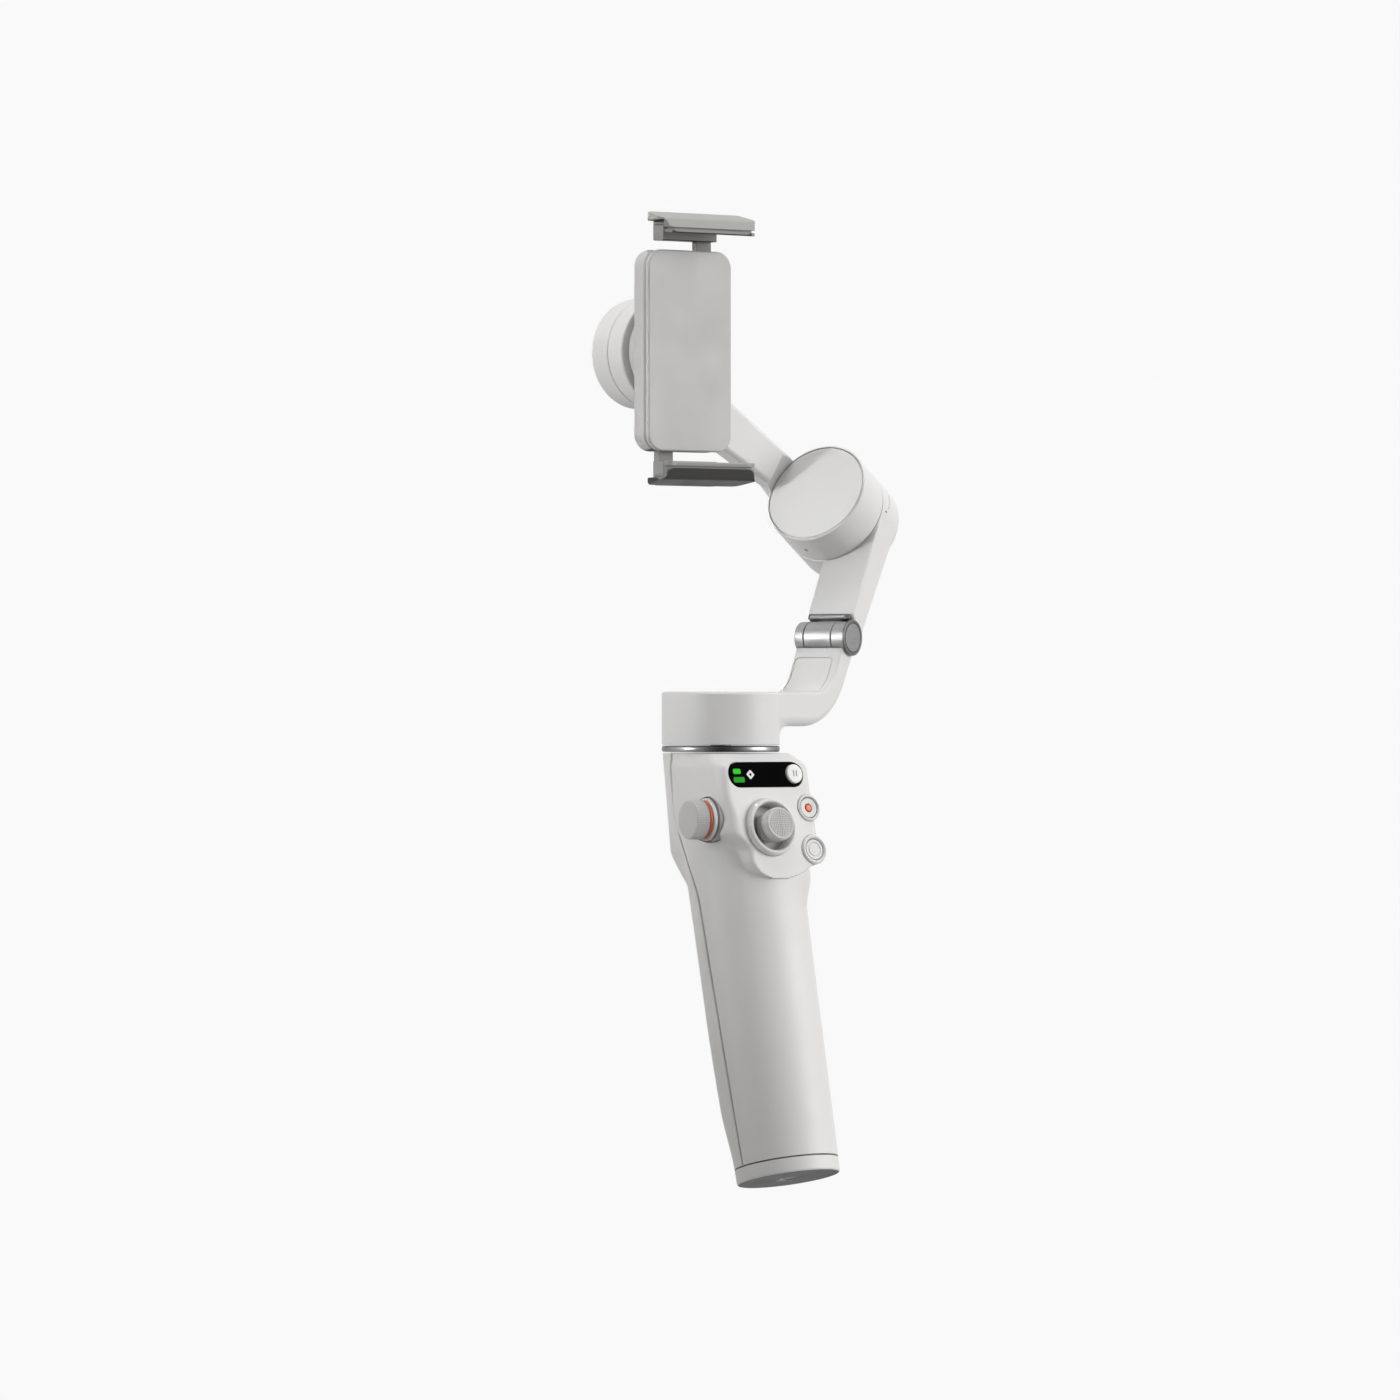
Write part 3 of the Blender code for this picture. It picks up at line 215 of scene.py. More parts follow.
def makeUnderShade():       # satin metal with painted shade on its underside: darker as its normal turns down
    group, into, place = newEffect("underShade")
    facing = addNode(group, "SeparateXYZ", {0: addNode(group, "NewGeometry")["Normal"]})["Z"]
    pits = noiseIn(group, place, into["Scale"], 3.0)
    return endEffect(group, into, facing, noiseIn(group, place, 120.0, 4.0), pits, underside)


effects = {
    "mouldGrain": makeMouldGrain(),
    "drawLines": makeDrawLines(),
    "paintedRingReflection": makePaintedRingReflection(),
    "underShade": makeUnderShade(),
}

# by slot: colour, effect and its inputs, bump strength, metal
finishes = {
    "body_plastic": ((0.715, 0.705, 0.69), "mouldGrain", (3000.0, 0.985, 1.012, 0.46, 0.54), 0.05, 0.0),
    "dark_plastic": ((0.022, 0.022, 0.024), "mouldGrain", (2400.0, 0.85, 1.25, 0.5, 0.65), 0.08, 0.0),
    "grey_plastic": ((0.54, 0.53, 0.52), "mouldGrain", (2600.0, 0.97, 1.03, 0.48, 0.6), 0.07, 0.0),
    "gloss_black": ((0.003, 0.003, 0.0034), "mouldGrain", (900.0, 0.8, 1.3, 0.05, 0.11), 0.0, 0.0),
    "white_plastic": ((0.82, 0.815, 0.80), "mouldGrain", (3400.0, 0.98, 1.01, 0.36, 0.46), 0.03, 0.0),
    "orange_plastic": ((0.80, 0.135, 0.03), "mouldGrain", (3000.0, 0.94, 1.04, 0.34, 0.46), 0.03, 0.0),
    "steel": ((0.33, 0.33, 0.33), "drawLines", (5200.0, 0.9, 1.06, 0.42, 0.52), 0.04, 1.0),
    "dark_steel": ((0.13, 0.13, 0.13), "drawLines", (5200.0, 0.9, 1.06, 0.36, 0.46), 0.04, 1.0),
    "mid_steel": ((0.2, 0.2, 0.2), "drawLines", (5200.0, 0.9, 1.06, 0.42, 0.52), 0.04, 1.0),
    # the polished ring's tone is a painted reflection: bright and dark bands around the pan axis
    "polished": ((0.23, 0.23, 0.23), "paintedRingReflection", (160.0, 0.12, 1.3, 0.26, 0.34), 0.0, 1.0),
    # the jaws' tone is painted shade: darker on faces turned down
    "jaw_metal": ((0.345, 0.34, 0.325), "underShade", (4200.0, 0.2, 1.2, 0.36, 0.46), 0.06, 0.0),
    "rubber": ((0.20, 0.20, 0.198), "mouldGrain", (1800.0, 0.93, 1.05, 0.66, 0.8), 0.12, 0.0),
    "board": ((0.02, 0.15, 0.07), "mouldGrain", (900.0, 0.8, 1.2, 0.35, 0.5), 0.1, 0.0),
    "cell": ((0.04, 0.06, 0.19), "mouldGrain", (700.0, 0.9, 1.1, 0.3, 0.42), 0.05, 0.0),
    "winding": ((0.50, 0.21, 0.085), "drawLines", (1900.0, 0.6, 1.2, 0.3, 0.42), 0.5, 0.8),
    "magnet": ((0.22, 0.22, 0.23), "drawLines", (4000.0, 0.9, 1.08, 0.28, 0.4), 0.05, 1.0),
    # a darker colour for the face the handle stands on: painted shade
    "base_painted_shade": ((0.125, 0.124, 0.122), "mouldGrain", (1500.0, 0.94, 1.05, 0.62, 0.75), 0.15, 0.0),
}
glosses = {"gloss_black": 0.001, "jaw_metal": 0.06}     # the rest keep the usual gloss
bumpDepth = 0.0002


def newLook(name, effectName, values, colour, colourInput):
    made = bpy.data.materials.new(name)
    made.use_nodes = True
    tree = made.node_tree
    shader = tree.nodes["Principled BSDF"].inputs
    effect = addNode(tree, "Group", dict(zip(effectInputs, values)), node_tree=effects[effectName])
    parts = {0: 1.0, 6: (*colour, 1), 7: effect["Tone"]}    # factor and two colours, for output 2
    tint = addNode(tree, "Mix", parts, data_type="RGBA", blend_type="MULTIPLY")[2]
    tree.links.new(tint, shader[colourInput])
    return made, shader, effect


def makeFinish(slotName):
    colour, effectName, values, bumpStrength, metal = finishes[slotName]
    made, shader, effect = newLook(slotName + "Look", effectName, values, colour, "Base Color")
    tree = made.node_tree
    shader["Metallic"].default_value = metal
    if slotName in glosses:
        shader["Specular IOR Level"].default_value = glosses[slotName]
    tree.links.new(effect["Sheen"], shader["Roughness"])
    if bumpStrength:
        relief = {"Strength": bumpStrength, "Distance": bumpDepth, "Height": effect["Height"]}
        tree.links.new(addNode(tree, "Bump", relief)["Normal"], shader["Normal"])
    return made


looks = {slotName: makeFinish(slotName) for slotName in finishes}
print("finishes made:", len(looks))


def axesAt(origin, x, z):
    made = Matrix((x, z.cross(x), z)).transposed().to_4x4()
    made.translation = Vector(origin)
    return made


def lookAlong(origin, axis, hint=(0, 0, 1)):        # a placing whose z runs along axis
    z = Vector(axis).normalized()
    x = Vector(hint).cross(z)
    if x.length < 1e-6:
        x = Vector((1, 0, 0))
    return axesAt(origin, x.normalized(), z)


def lookAcross(origin, xAxis, yAxis):
    x = Vector(xAxis).normalized()
    return axesAt(origin, x, x.cross(Vector(yAxis)).normalized())


def makeMesh(name, points, faces, placing=None):        # points in millimetres
    if placing is not None:
        points = [placing @ Vector(p) for p in points]
    mesh = bpy.data.meshes.new(name)
    mesh.from_pydata([Vector(p) * mm for p in points], [], faces)
    work = bmesh.new()
    work.from_mesh(mesh)
    bmesh.ops.remove_doubles(work, verts=work.verts, dist=1e-7)
    bmesh.ops.recalc_face_normals(work, faces=work.faces)
    work.to_mesh(mesh)
    work.free()
    return addObject(name, mesh)


def roundOff(points, radius, steps=5, closed=False):        # swaps corners for arcs
    count = len(points)
    made = []
    for k, here in enumerate(points):
        size = radius[k] if isinstance(radius, (list, tuple)) else radius
        if size <= 0 or (not closed and k in (0, count - 1)):
            made.append(tuple(here))
            continue
        corner = Vector(here)
        back = Vector(points[k - 1]) - corner
        ahead = Vector(points[(k + 1) % count]) - corner
        angle = back.angle(ahead)
        if angle > pi - 0.05:      # nearly straight
            made.append(tuple(here))
            continue
        run = min(size / tan(angle / 2), 0.48 * back.length, 0.48 * ahead.length)
        size = run * tan(angle / 2)
        b, a = back.normalized(), ahead.normalized()
        middle = corner + (b + a).normalized() * (size / sin(angle / 2))
        first, last = corner + b * run - middle, corner + a * run - middle
        sweep = first.angle(last)
        for n in range(steps + 1):
            t = n / steps
            spot = first * (sin((1 - t) * sweep) / sin(sweep))
            spot += last * (sin(t * sweep) / sin(sweep))
            made.append(tuple(middle + spot))
    return made


def turned(name, profile, placing, sides=96):       # (radius, height) points, from the axis or a closed ring
    points, rings = [], []
    for radius, height in profile:
        count = 1 if radius < 1e-6 else sides
        ring = []
        for k in range(count):
            turn = 2 * pi * k / sides
            ring.append(len(points))
            points.append((radius * cos(turn), radius * sin(turn), height))
        rings.append(ring)
    pairs = list(zip(rings, rings[1:]))
    if len(rings[0]) > 1 and len(rings[-1]) > 1:
        pairs.append((rings[-1], rings[0]))
    faces = []
    for low, high in pairs:
        for k in range(sides):
            n = (k + 1) % sides
            if len(low) == 1:
                faces.append((low[0], high[k], high[n]))
            elif len(high) == 1:
                faces.append((low[k], low[n], high[0]))
            else:
                faces.append((low[k], low[n], high[n], high[k]))
    return makeMesh(name, points, faces, placing)


def skinRings(name, rings, placing=None):       # rings of equal count, flat ends
    count = len(rings[0])
    points = [p for ring in rings for p in ring]
    faces = [tuple(range(count)), tuple(range((len(rings) - 1) * count, len(rings) * count))]
    for level in range(len(rings) - 1):
        low = level * count
        for k in range(count):
            n = (k + 1) % count
            faces.append((low + k, low + n, low + count + n, low + count + k))
    return makeMesh(name, points, faces, placing)


def inset(outline, distance):       # moves a closed outline inwards
    count = len(outline)
    area = sum(outline[k - 1][0] * outline[k][1] - outline[k][0] * outline[k - 1][1] for k in range(count))
    way = 1 if area > 0 else -1
    made = []
    for k in range(count):
        here = Vector(outline[k])
        before = (here - Vector(outline[k - 1])).normalized()
        after = (Vector(outline[(k + 1) % count]) - here).normalized()
        normal = Vector((-before.y - after.y, before.x + after.x)) * way
        if normal.length < 1e-9:
            normal = Vector((-before.y, before.x)) * way
        normal.normalize()
        lean = max(normal.dot(Vector((-before.y, before.x)) * way), 0.3)
        made.append(tuple(here + normal * (distance / lean)))
    return made


def pressed(name, outline, low, high, edge, placing=None, steps=5):     # a plate with rounded rims
    lower, upper = [], []
    for k in range(steps + 1):
        turn = pi / 2 * k / steps
        drop, rise = edge * (1 - sin(turn)), edge * (1 - cos(turn))
        lower.append([(x, y, low + rise) for x, y in inset(outline, drop)])
        upper.append([(x, y, high - drop) for x, y in inset(outline, rise)])
    return skinRings(name, lower + upper, placing)


def plainPrism(name, outline, low, high, placing=None):
    return skinRings(name, [[(x, y, z) for x, y in outline] for z in (low, high)], placing)


def roundedPlate(halfX, halfY, radius, steps=10):
    outline = []
    for quarter, (sx, sy) in enumerate(((1, 1), (-1, 1), (-1, -1), (1, -1))):
        for k in range(steps + 1):
            turn = pi / 2 * (quarter + k / steps)
            x = sx * (halfX - radius) + radius * cos(turn)
            outline.append((x, sy * (halfY - radius) + radius * sin(turn)))
    return outline


def spin(name, corners, radii, steps, placing, sides=96):
    return turned(name, roundOff(corners, radii, steps), placing, sides)


def washer(name, inner, outer, low, high, radii, steps, placing, sides=96):     # a disc where inner is 0
    corners = [(inner, low), (outer, low), (outer, high), (inner, high)]
    return turned(name, roundOff(corners, radii, steps, inner > 0), placing, sides)


def plug(radius, low, high, placing, sides=64):     # a cutter
    return washer("cutter", 0, radius, low, high, 0, 1, placing, sides)


def cutPrism(outline, low, high, placing):
    return plainPrism("cutter", outline, low, high, placing)


def block(low, high):
    mid = [(a + b) / 2 for a, b in zip(low, high)]
    half = [(b - a) / 2 for a, b in zip(low, high)]
    corners = [(half[0], half[1]), (-half[0], half[1]), (-half[0], -half[1]), (half[0], -half[1])]
    return cutPrism(corners, -half[2], half[2], Matrix.Translation(mid))


def settle(thing):
    bpy.context.view_layer.update()
    mesh = bpy.data.meshes.new_from_object(thing.evaluated_get(bpy.context.evaluated_depsgraph_get()))
    thing.modifiers.clear()
    thing.data = mesh


def carve(thing, tools, operation="DIFFERENCE"):
    for tool in tools:
        step = thing.modifiers.new("carve", "BOOLEAN")
        step.operation = operation
        step.solver = "EXACT"
        step.object = tool
        settle(thing)
        bpy.data.objects.remove(tool)
    return thing


def breakEdges(thing, width, segments, angle):
    step = thing.modifiers.new("edges", "BEVEL")
    step.width = width * mm
    step.segments = segments
    step.limit_method = "ANGLE"
    step.angle_limit = radians(angle)
    step.harden_normals = False
    settle(thing)


sharpAngle = 34         # edges steeper than this stay crisp
joinAngle = 38          # and on pieces joined from several


def smooth(thing, slotName, sharp):
    thing.data.materials.clear()
    thing.data.materials.append(looks[slotName])
    thing.data.shade_smooth()
    thing.data.set_sharp_from_angle(angle=radians(sharp))


def dress(thing, body, slotName, *replaced, sharp=sharpAngle):
    smooth(thing, slotName, sharp)
    even = thing.modifiers.new("evenNormals", "WEIGHTED_NORMAL")
    even.keep_sharp = True
    even.weight = 60
    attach(thing, body)
    if replaced:
        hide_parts(*replaced)
    return thing


def arcPoints(centre, radius, start, stop, steps):
    made = []
    for k in range(steps + 1):
        turn = radians(start + (stop - start) * k / steps)
        made.append((centre[0] + radius * cos(turn), centre[1] + radius * sin(turn)))
    return made


def easeIn(value):
    value = min(max(value, 0.0), 1.0)
    return value * value * (3 - 2 * value)


def easeSpan(value, start, run):
    return easeIn((value - start) / run)


def blendMax(a, b, k):
    near = max(k - abs(a - b), 0.0) / k
    return max(a, b) + near * near * k / 4


def blendMin(a, b, k):
    return -blendMax(-a, -b, k)


handle = {
    "lean": radians(13.6),
    "bottom": 4.3,
    "top": 121.0,
    "levelSteps": ((60, 2.4), (83, 1.0), (93, 0.35), (121, 0.8)),       # spacing of levels up to each height
    "wall": 2.0,
    "gripWide": (14.95, 16.9),      # at the bottom and at gripTop
    "gripDeep": (14.5, 16.2),
    "gripTop": 77.0,
    "gripBlend": 3.0,
    "headRadius": 16.7,
    "headTaper": 0.08,
    "knee": (93.0, 0.47, 2.0),      # below this level the seat falls away into the grip
    "panelLeft": 16.0,
    "panelRight": 16.5,
    "panelTuck": (5.8, 92.5, 6.5),              # the left side draws in below the joystick
    "leftEnd": (92.0, 6.7, 2.4),                # rounded lower ends: level, height and power
    "rightEnd": (96.0, 10.6, 2.5),
    "panelSoft": (5.0, 4.0, 91.0, 5.0, 102.0, 7.0),     # rounding of the flanks, and more beside the wheel
    "panelLow": 85.4,
    "panelPoint": (10.7, 115.0),
    "panelBlend": 1.2,
    "shoulder": (117.8, 1.35),
    "panY": 32.0,
    # size, middle and width around the axis, then where it starts, how it rises, where it ends, how it falls
    "swell": (2.4, radians(50.0), 0.42, 76.0, 11.0, 90.0, 10.0),
    "rearSwell": (1.15, radians(127.0), 0.4, 4.0, 18.0, 32.0, 55.0),
    "seamBack": 1.0,
    "seamHead": 33.6,
    "seamTurn": (78.0, 30.0),       # where the seam starts to bend back, and over what height
    "seamRound": 0.6,
    "seamDrop": 0.8,
    "seamGap": 0.3,
    "seamSteps": (0.0, 0.08, 0.2, 0.36, 0.6),       # finer towards the seam, where the edge is rounded
    "gripRadius": 16.0,             # turns those steps into angles
    "seamFar": pi / 60,        # plain from here on
    "levelTilt": (60.0, 50.0),      # below this the levels tip until they meet the foot squarely
}
leanTan = tan(handle["lean"])
leanUp = Vector((0, sin(handle["lean"]), cos(handle["lean"])))
leanOut = Vector((0, -cos(handle["lean"]), sin(handle["lean"])))
panY = handle["panY"]


def shoulderDrop(z):
    level, slope = handle["shoulder"]
    return slope * max(z - level, 0.0)


def gripHalf(z):
    share = min(max(z / handle["gripTop"], 0.0), 1.0)
    return [low + (high - low) * share for low, high in (handle["gripWide"], handle["gripDeep"])]


def headRadius(z):
    level, fall, soft = handle["knee"]
    under = max(level - z, 0.0)
    taper = handle["headTaper"] * (handle["top"] - z)
    return handle["headRadius"] - taper - fall * under * under / (under + soft)


def seamY(z):
    grip = z * leanTan + handle["seamBack"]
    return grip + (handle["seamHead"] - grip) * easeSpan(z, *handle["seamTurn"])


def swellAt(z, turn, shape):
    size, middle, spreadTurn, low, rise, high, fall = shape
    share = easeSpan(z, low, rise) * (1 - easeSpan(z, high, fall))
    return size * share * exp(-((turn - middle) / spreadTurn) ** 2)


def rayToEllipse(sine, cosine, offset, wide, deep):
    a = (sine / wide) ** 2 + (cosine / deep) ** 2
    b = -2 * offset * cosine / deep ** 2
    c = (offset / deep) ** 2 - 1
    root = b * b - 4 * a * c
    return 0.0 if root <= 0 else max((-b + sqrt(root)) / (2 * a), 0.0)


def roundedEnd(z, level, tall, power):
    return sqrt(max(1 - ((level - z) / tall) ** power, 0.0)) if z < level else 1.0


def panelFace(z):
    y, level = handle["panelPoint"]
    return y - (level - z) * leanTan


def panelReach(z, sine, cosine, middle):        # flat raised face with rounded flanks and a rounded lower end
    if cosine <= 0 or z <= handle["panelLow"]:
        return 0.0
    soft, more, low, rise, high, fall = handle["panelSoft"]
    if sine > 0:
        side = handle["panelRight"] * roundedEnd(z, *handle["rightEnd"])
    else:
        tuck, start, run = handle["panelTuck"]
        side = handle["panelLeft"] - tuck * (1 - easeSpan(z, start, run))
        side *= roundedEnd(z, *handle["leftEnd"])
    if sine < 0:
        soft += more * easeSpan(z, low, rise) * (1 - easeSpan(z, high, fall))
    drop = shoulderDrop(z)
    side -= 0.5 * drop
    if side < 0.2:
        return 0.0
    face = panelFace(z) + drop
    return blendMin((middle - face) / max(cosine, 1e-3), side / max(abs(sine), 1e-3), soft)


def handleReach(z, turn):       # from the seam's middle to the skin; turn 0 faces the operator
    sine, cosine = sin(turn), cos(turn)
    middle = seamY(z)
    wide, deep = gripHalf(z)
    drop = shoulderDrop(z)
    reach = rayToEllipse(sine, cosine, middle - z * leanTan, wide - drop, deep - drop)
    reach += swellAt(z, turn, handle["swell"])      # carries the panel's right side down into the grip
    rear = abs(remainder(turn, 2 * pi))
    reach += swellAt(z, rear, handle["rearSwell"])      # the palm side is a little fuller than an oval
    radius = headRadius(z)
    head = rayToEllipse(sine, cosine, middle - panY, radius, radius) if radius > 1 else 0.0
    reach = blendMax(reach, head, handle["gripBlend"])
    return blendMax(reach, panelReach(z, sine, cosine, middle), handle["panelBlend"])


def onHandle(z, x, forward):
    level, run = handle["levelTilt"]
    turn = handle["lean"] * easeIn((level - z) / run)
    return (x, seamY(z) - forward * cos(turn), z + forward * sin(turn))


def handleShell(name, start, sides, levels, clear):     # half a turn from start
    stop = start + pi
    soft, near, far = handle["seamRound"], handle["seamSteps"], handle["seamFar"]
    scale = handle["gripRadius"]
    turns = [(start + d / scale, d) for d in near]
    turns += [(start + far + (pi - 2 * far) * k / sides, scale * far) for k in range(sides + 1)]
    turns += [(stop - d / scale, d) for d in near[::-1]]
    rings = []
    for z in levels:
        outer, inner = [], []
        for turn, d in turns:
            fall = 1 - sqrt(max(1 - (max(soft - d, 0.0) / soft) ** 2, 0.0))
            shift = clear * (1 - d / (scale * far))
            reach = handleReach(z, turn)
            for sink, ring in ((soft * fall * handle["seamDrop"], outer), (handle["wall"], inner)):
                skin = reach - sink
                ring.append(onHandle(z, skin * sin(turn), skin * cos(turn) + shift))
        rings.append(outer + inner[::-1])
    return skinRings(name, rings)


def onPanel(x, z):      # on the control face, z axis outward
    return lookAlong((x, panelFace(z), z), leanOut, leanUp)


window = {
    "wide": 26.3, "tall": 7.2, "z": 115.1,
    "gap": 0.3, "deep": 1.4, "low": -1.1, "high": 0.15, "rim": 0.22,
}
stick = {
    "x": -1.2, "z": 100.0, "ring": 8.45, "hole": 6.75,
    "cap": 4.85, "body": 4.4, "top": 5.4, "dish": -2.9,
}
recordKey = {"x": 13.6, "z": 105.4, "ring": 3.9, "cap": 2.9, "dot": 1.0}
modeKey = {"x": 13.4, "z": 93.5, "ring": 4.3, "cap": 3.0}
keyDeep = {"foot": -2.2, "ring": -2.4, "ringSeat": -2.47, "seat": -3.4, "gap": 0.2, "ringGap": 0.12}
switchKey = {"x": 10.0, "radius": 2.9, "low": -2.4, "high": 0.8}
wheel = {
    "base": (-15.9, 17.0, 102.2), "axis": (-0.9925, 0.122, 0.0),
    "radius": 5.6, "out": 6.7, "hole": 6.6, "bore": 2.7, "ribs": 54, "ribDeep": 0.3, "ribSteps": 6,
}
trigger = {"pivot": (43.6, 112.6), "half": 5.0, "gap": 0.6, "pin": 1.0, "opening": ((38, 90.6), (60, 116.4))}
port = {"at": (13.4, 38.2, 98.0), "half": (1.6, 4.6)}
throughCut = 8      # how far cutters run past the skin


def handleLevels():
    levels, z = [], handle["bottom"]
    while z < handle["top"] - 0.2:
        levels.append(z)
        z += next(step for limit, step in handle["levelSteps"] if z < limit)
    return levels + [handle["top"] - 0.12, handle["top"]]


def keyPocket(key):     # a stepped cutter that stops short of the panel's right flank
    ring, cap = key["ring"] + keyDeep["ringGap"], key["cap"] + keyDeep["gap"]
    seat, ringSeat = keyDeep["seat"], keyDeep["ringSeat"]
    profile = [(0, seat), (cap, seat), (cap, ringSeat), (ring, ringSeat), (ring, 6), (0, 6)]
    return turned("cutter", profile, onPanel(key["x"], key["z"]), 64)


def makeShells():
    levels = handleLevels()
    front = handleShell("frontShell", -pi / 2, 120, levels, handle["seamGap"])
    pill = window["tall"] / 2 + window["gap"]
    seat = roundedPlate(window["wide"] / 2 + window["gap"], pill, pill - 0.01)
    carve(front, [
        cutPrism(seat, -window["deep"], 6, onPanel(0, window["z"])),
        plug(switchKey["radius"] + 0.3, -6, 3, onPanel(switchKey["x"], window["z"])),
        plug(stick["ring"] + 0.06, -throughCut, 6, onPanel(stick["x"], stick["z"])),
        keyPocket(recordKey),
        keyPocket(modeKey),
        plug(wheel["hole"], -throughCut, throughCut, lookAlong(wheel["base"], wheel["axis"])),
    ])
    dress(front, "handle", "body_plastic", "front_shell")
    rear = handleShell("rearShell", pi / 2, 72, levels, -handle["seamGap"])
    a, b = port["half"]
    slot = roundedPlate(a + 0.3, b + 0.3, a + 0.25)
    side = trigger["half"] + trigger["gap"]
    low, high = trigger["opening"]
    carve(rear, [
        block((-side, *low), (side, *high)),
        cutPrism(slot, -throughCut, throughCut, lookAlong(port["at"], (1, 0, 0))),
    ])
    dress(rear, "handle", "body_plastic", "rear_shell")


baseCap = {
    "seam": 4.25, "gap": 0.02, "wall": 2.4, "spigot": 8.0, "edge": 0.6, "foot": 0.9, "sides": 120,
    "shadedFaceDeep": 0.1, "mouth": 3.4, "lip": 0.25, "insert": 4.9, "deep": 6.0,
    "threadRadius": 2.7, "threadDeep": 0.45, "pitch": 1.27,
}


def makeBase():
    place = lookAlong((0, 0, 0), leanUp)
    edge, top, sides = baseCap["edge"], baseCap["seam"] - baseCap["gap"], baseCap["sides"]
    steps = [(0.0, baseCap["foot"])]
    for k in range(7):
        turn = pi / 2 * k / 6
        steps.append((edge * (1 - cos(turn)), edge * (1 - sin(turn))))
    steps += [(top - 0.12, 0.0), (top - 0.03, 0.03), (top, 0.12)]
    steps += [(top, baseCap["wall"]), (baseCap["spigot"], baseCap["wall"])]
    turns = [2 * pi * k / sides for k in range(sides)]
    rings = []
    for height, drop in steps:
        wide, deep = gripHalf(height)
        rings.append([((wide - drop) * cos(t), (deep - drop) * sin(t), height) for t in turns])
    cap = skinRings("baseCap", rings, place)
    insert, deep, lip = baseCap["insert"], baseCap["deep"], baseCap["lip"]
    carve(cap, [plug(insert + 0.15, lip, deep + 0.3, place), plug(baseCap["mouth"], -1, 1, place)])
    dress(cap, "handle", "body_plastic", "bottom_cap")
    cap.data.materials.append(looks["base_painted_shade"])
    for face in cap.data.polygons:      # the face it stands on gets a darker colour: painted shade of the downward face
        height = (place.inverted() @ (face.center / mm)).z
        if face.normal.dot(leanUp) < -0.9 and height < baseCap["shadedFaceDeep"]:
            face.material_index = 1
    low, thread = lip + 0.1, baseCap["threadRadius"]
    profile = [(thread + 0.6, low), (insert - 0.25, low), (insert, low + 0.25)]
    profile += [(insert, deep), (thread, deep)]
    height = deep - 0.3
    while height > 1.6:         # thread crests
        profile += [(thread, height), (thread + baseCap["threadDeep"], height - baseCap["pitch"] / 2)]
        height -= baseCap["pitch"]
    dress(turned("tripodInsert", profile, place, 64), "handle", "steel", "tripod_insert")


makeShells()
makeBase()
print("handle shells made")


def makeWindow():
    place = onPanel(0, window["z"])
    half = window["tall"] / 2
    pill = roundedPlate(window["wide"] / 2, half, half - 0.01, 16)
    pane = pressed("statusWindow", pill, window["low"], window["high"], window["rim"], place)
    carve(pane, [plug(switchKey["radius"] + 0.15, -6, 3, onPanel(switchKey["x"], window["z"]))])
    dress(pane, "handle", "gloss_black", "status_window")


lights = {
    "green": (0.03, 0.62, 0.02),
    "white": (0.8, 0.8, 0.8),
    "shader": {
        "Base Color": (0.01, 0.02, 0.01, 1), "Roughness": 0.3,
        "Specular IOR Level": 0.02, "Emission Strength": 1.0,
    },
    "grain": (3200.0, 0.82, 1.1, 0.42, 0.5),
    # x, y, half length, half height, glow
    "bars": ((-10.35, 0.85, 1.35, 0.75, 1.0), (-9.9, -1.6, 1.95, 0.8, 0.55)),
    "diamond": (-5.65, -0.1, 1.05),
    "diamondTurn": radians(40),
    "eye": 0.42,
    "plate": (0.02, 0.2, 0.04),         # low, high, rim
}


def makeGlow(name, colour):
    made, shader = newLook(name, "mouldGrain", lights["grain"], colour, "Emission Color")[:2]
    for label, value in lights["shader"].items():
        shader[label].default_value = value
    return made


def makeLights():
    place = onPanel(0, window["z"])
    for k, (x, y, halfLong, halfTall, glow) in enumerate(lights["bars"], 1):
        outline = [(x + px, y + py) for px, py in roundedPlate(halfLong, halfTall, 0.45, 6)]
        bar = pressed("chargeBar%d" % k, outline, *lights["plate"], place, 2)
        dress(bar, "handle", "gloss_black")
        bar.data.materials[0] = makeGlow("chargeGlow%d" % k, [c * glow for c in lights["green"]])
    x, y, half = lights["diamond"]
    spot = place @ Matrix.Translation((x, y, 0))
    tipped = spot @ Matrix.Rotation(lights["diamondTurn"], 4, "Z")
    mark = pressed("modeLight", roundedPlate(half, half, 0.35, 6), *lights["plate"], tipped, 2)
    carve(mark, [plug(lights["eye"], -2, 2, spot, 24)])
    dress(mark, "handle", "white_plastic")
    mark.data.materials[0] = makeGlow("modeGlow", lights["white"])


ridges = {"pitch": 0.62, "high": 0.26, "fade": 0.3, "sink": 0.14, "dome": 0.22, "rows": 32, "sides": 144}


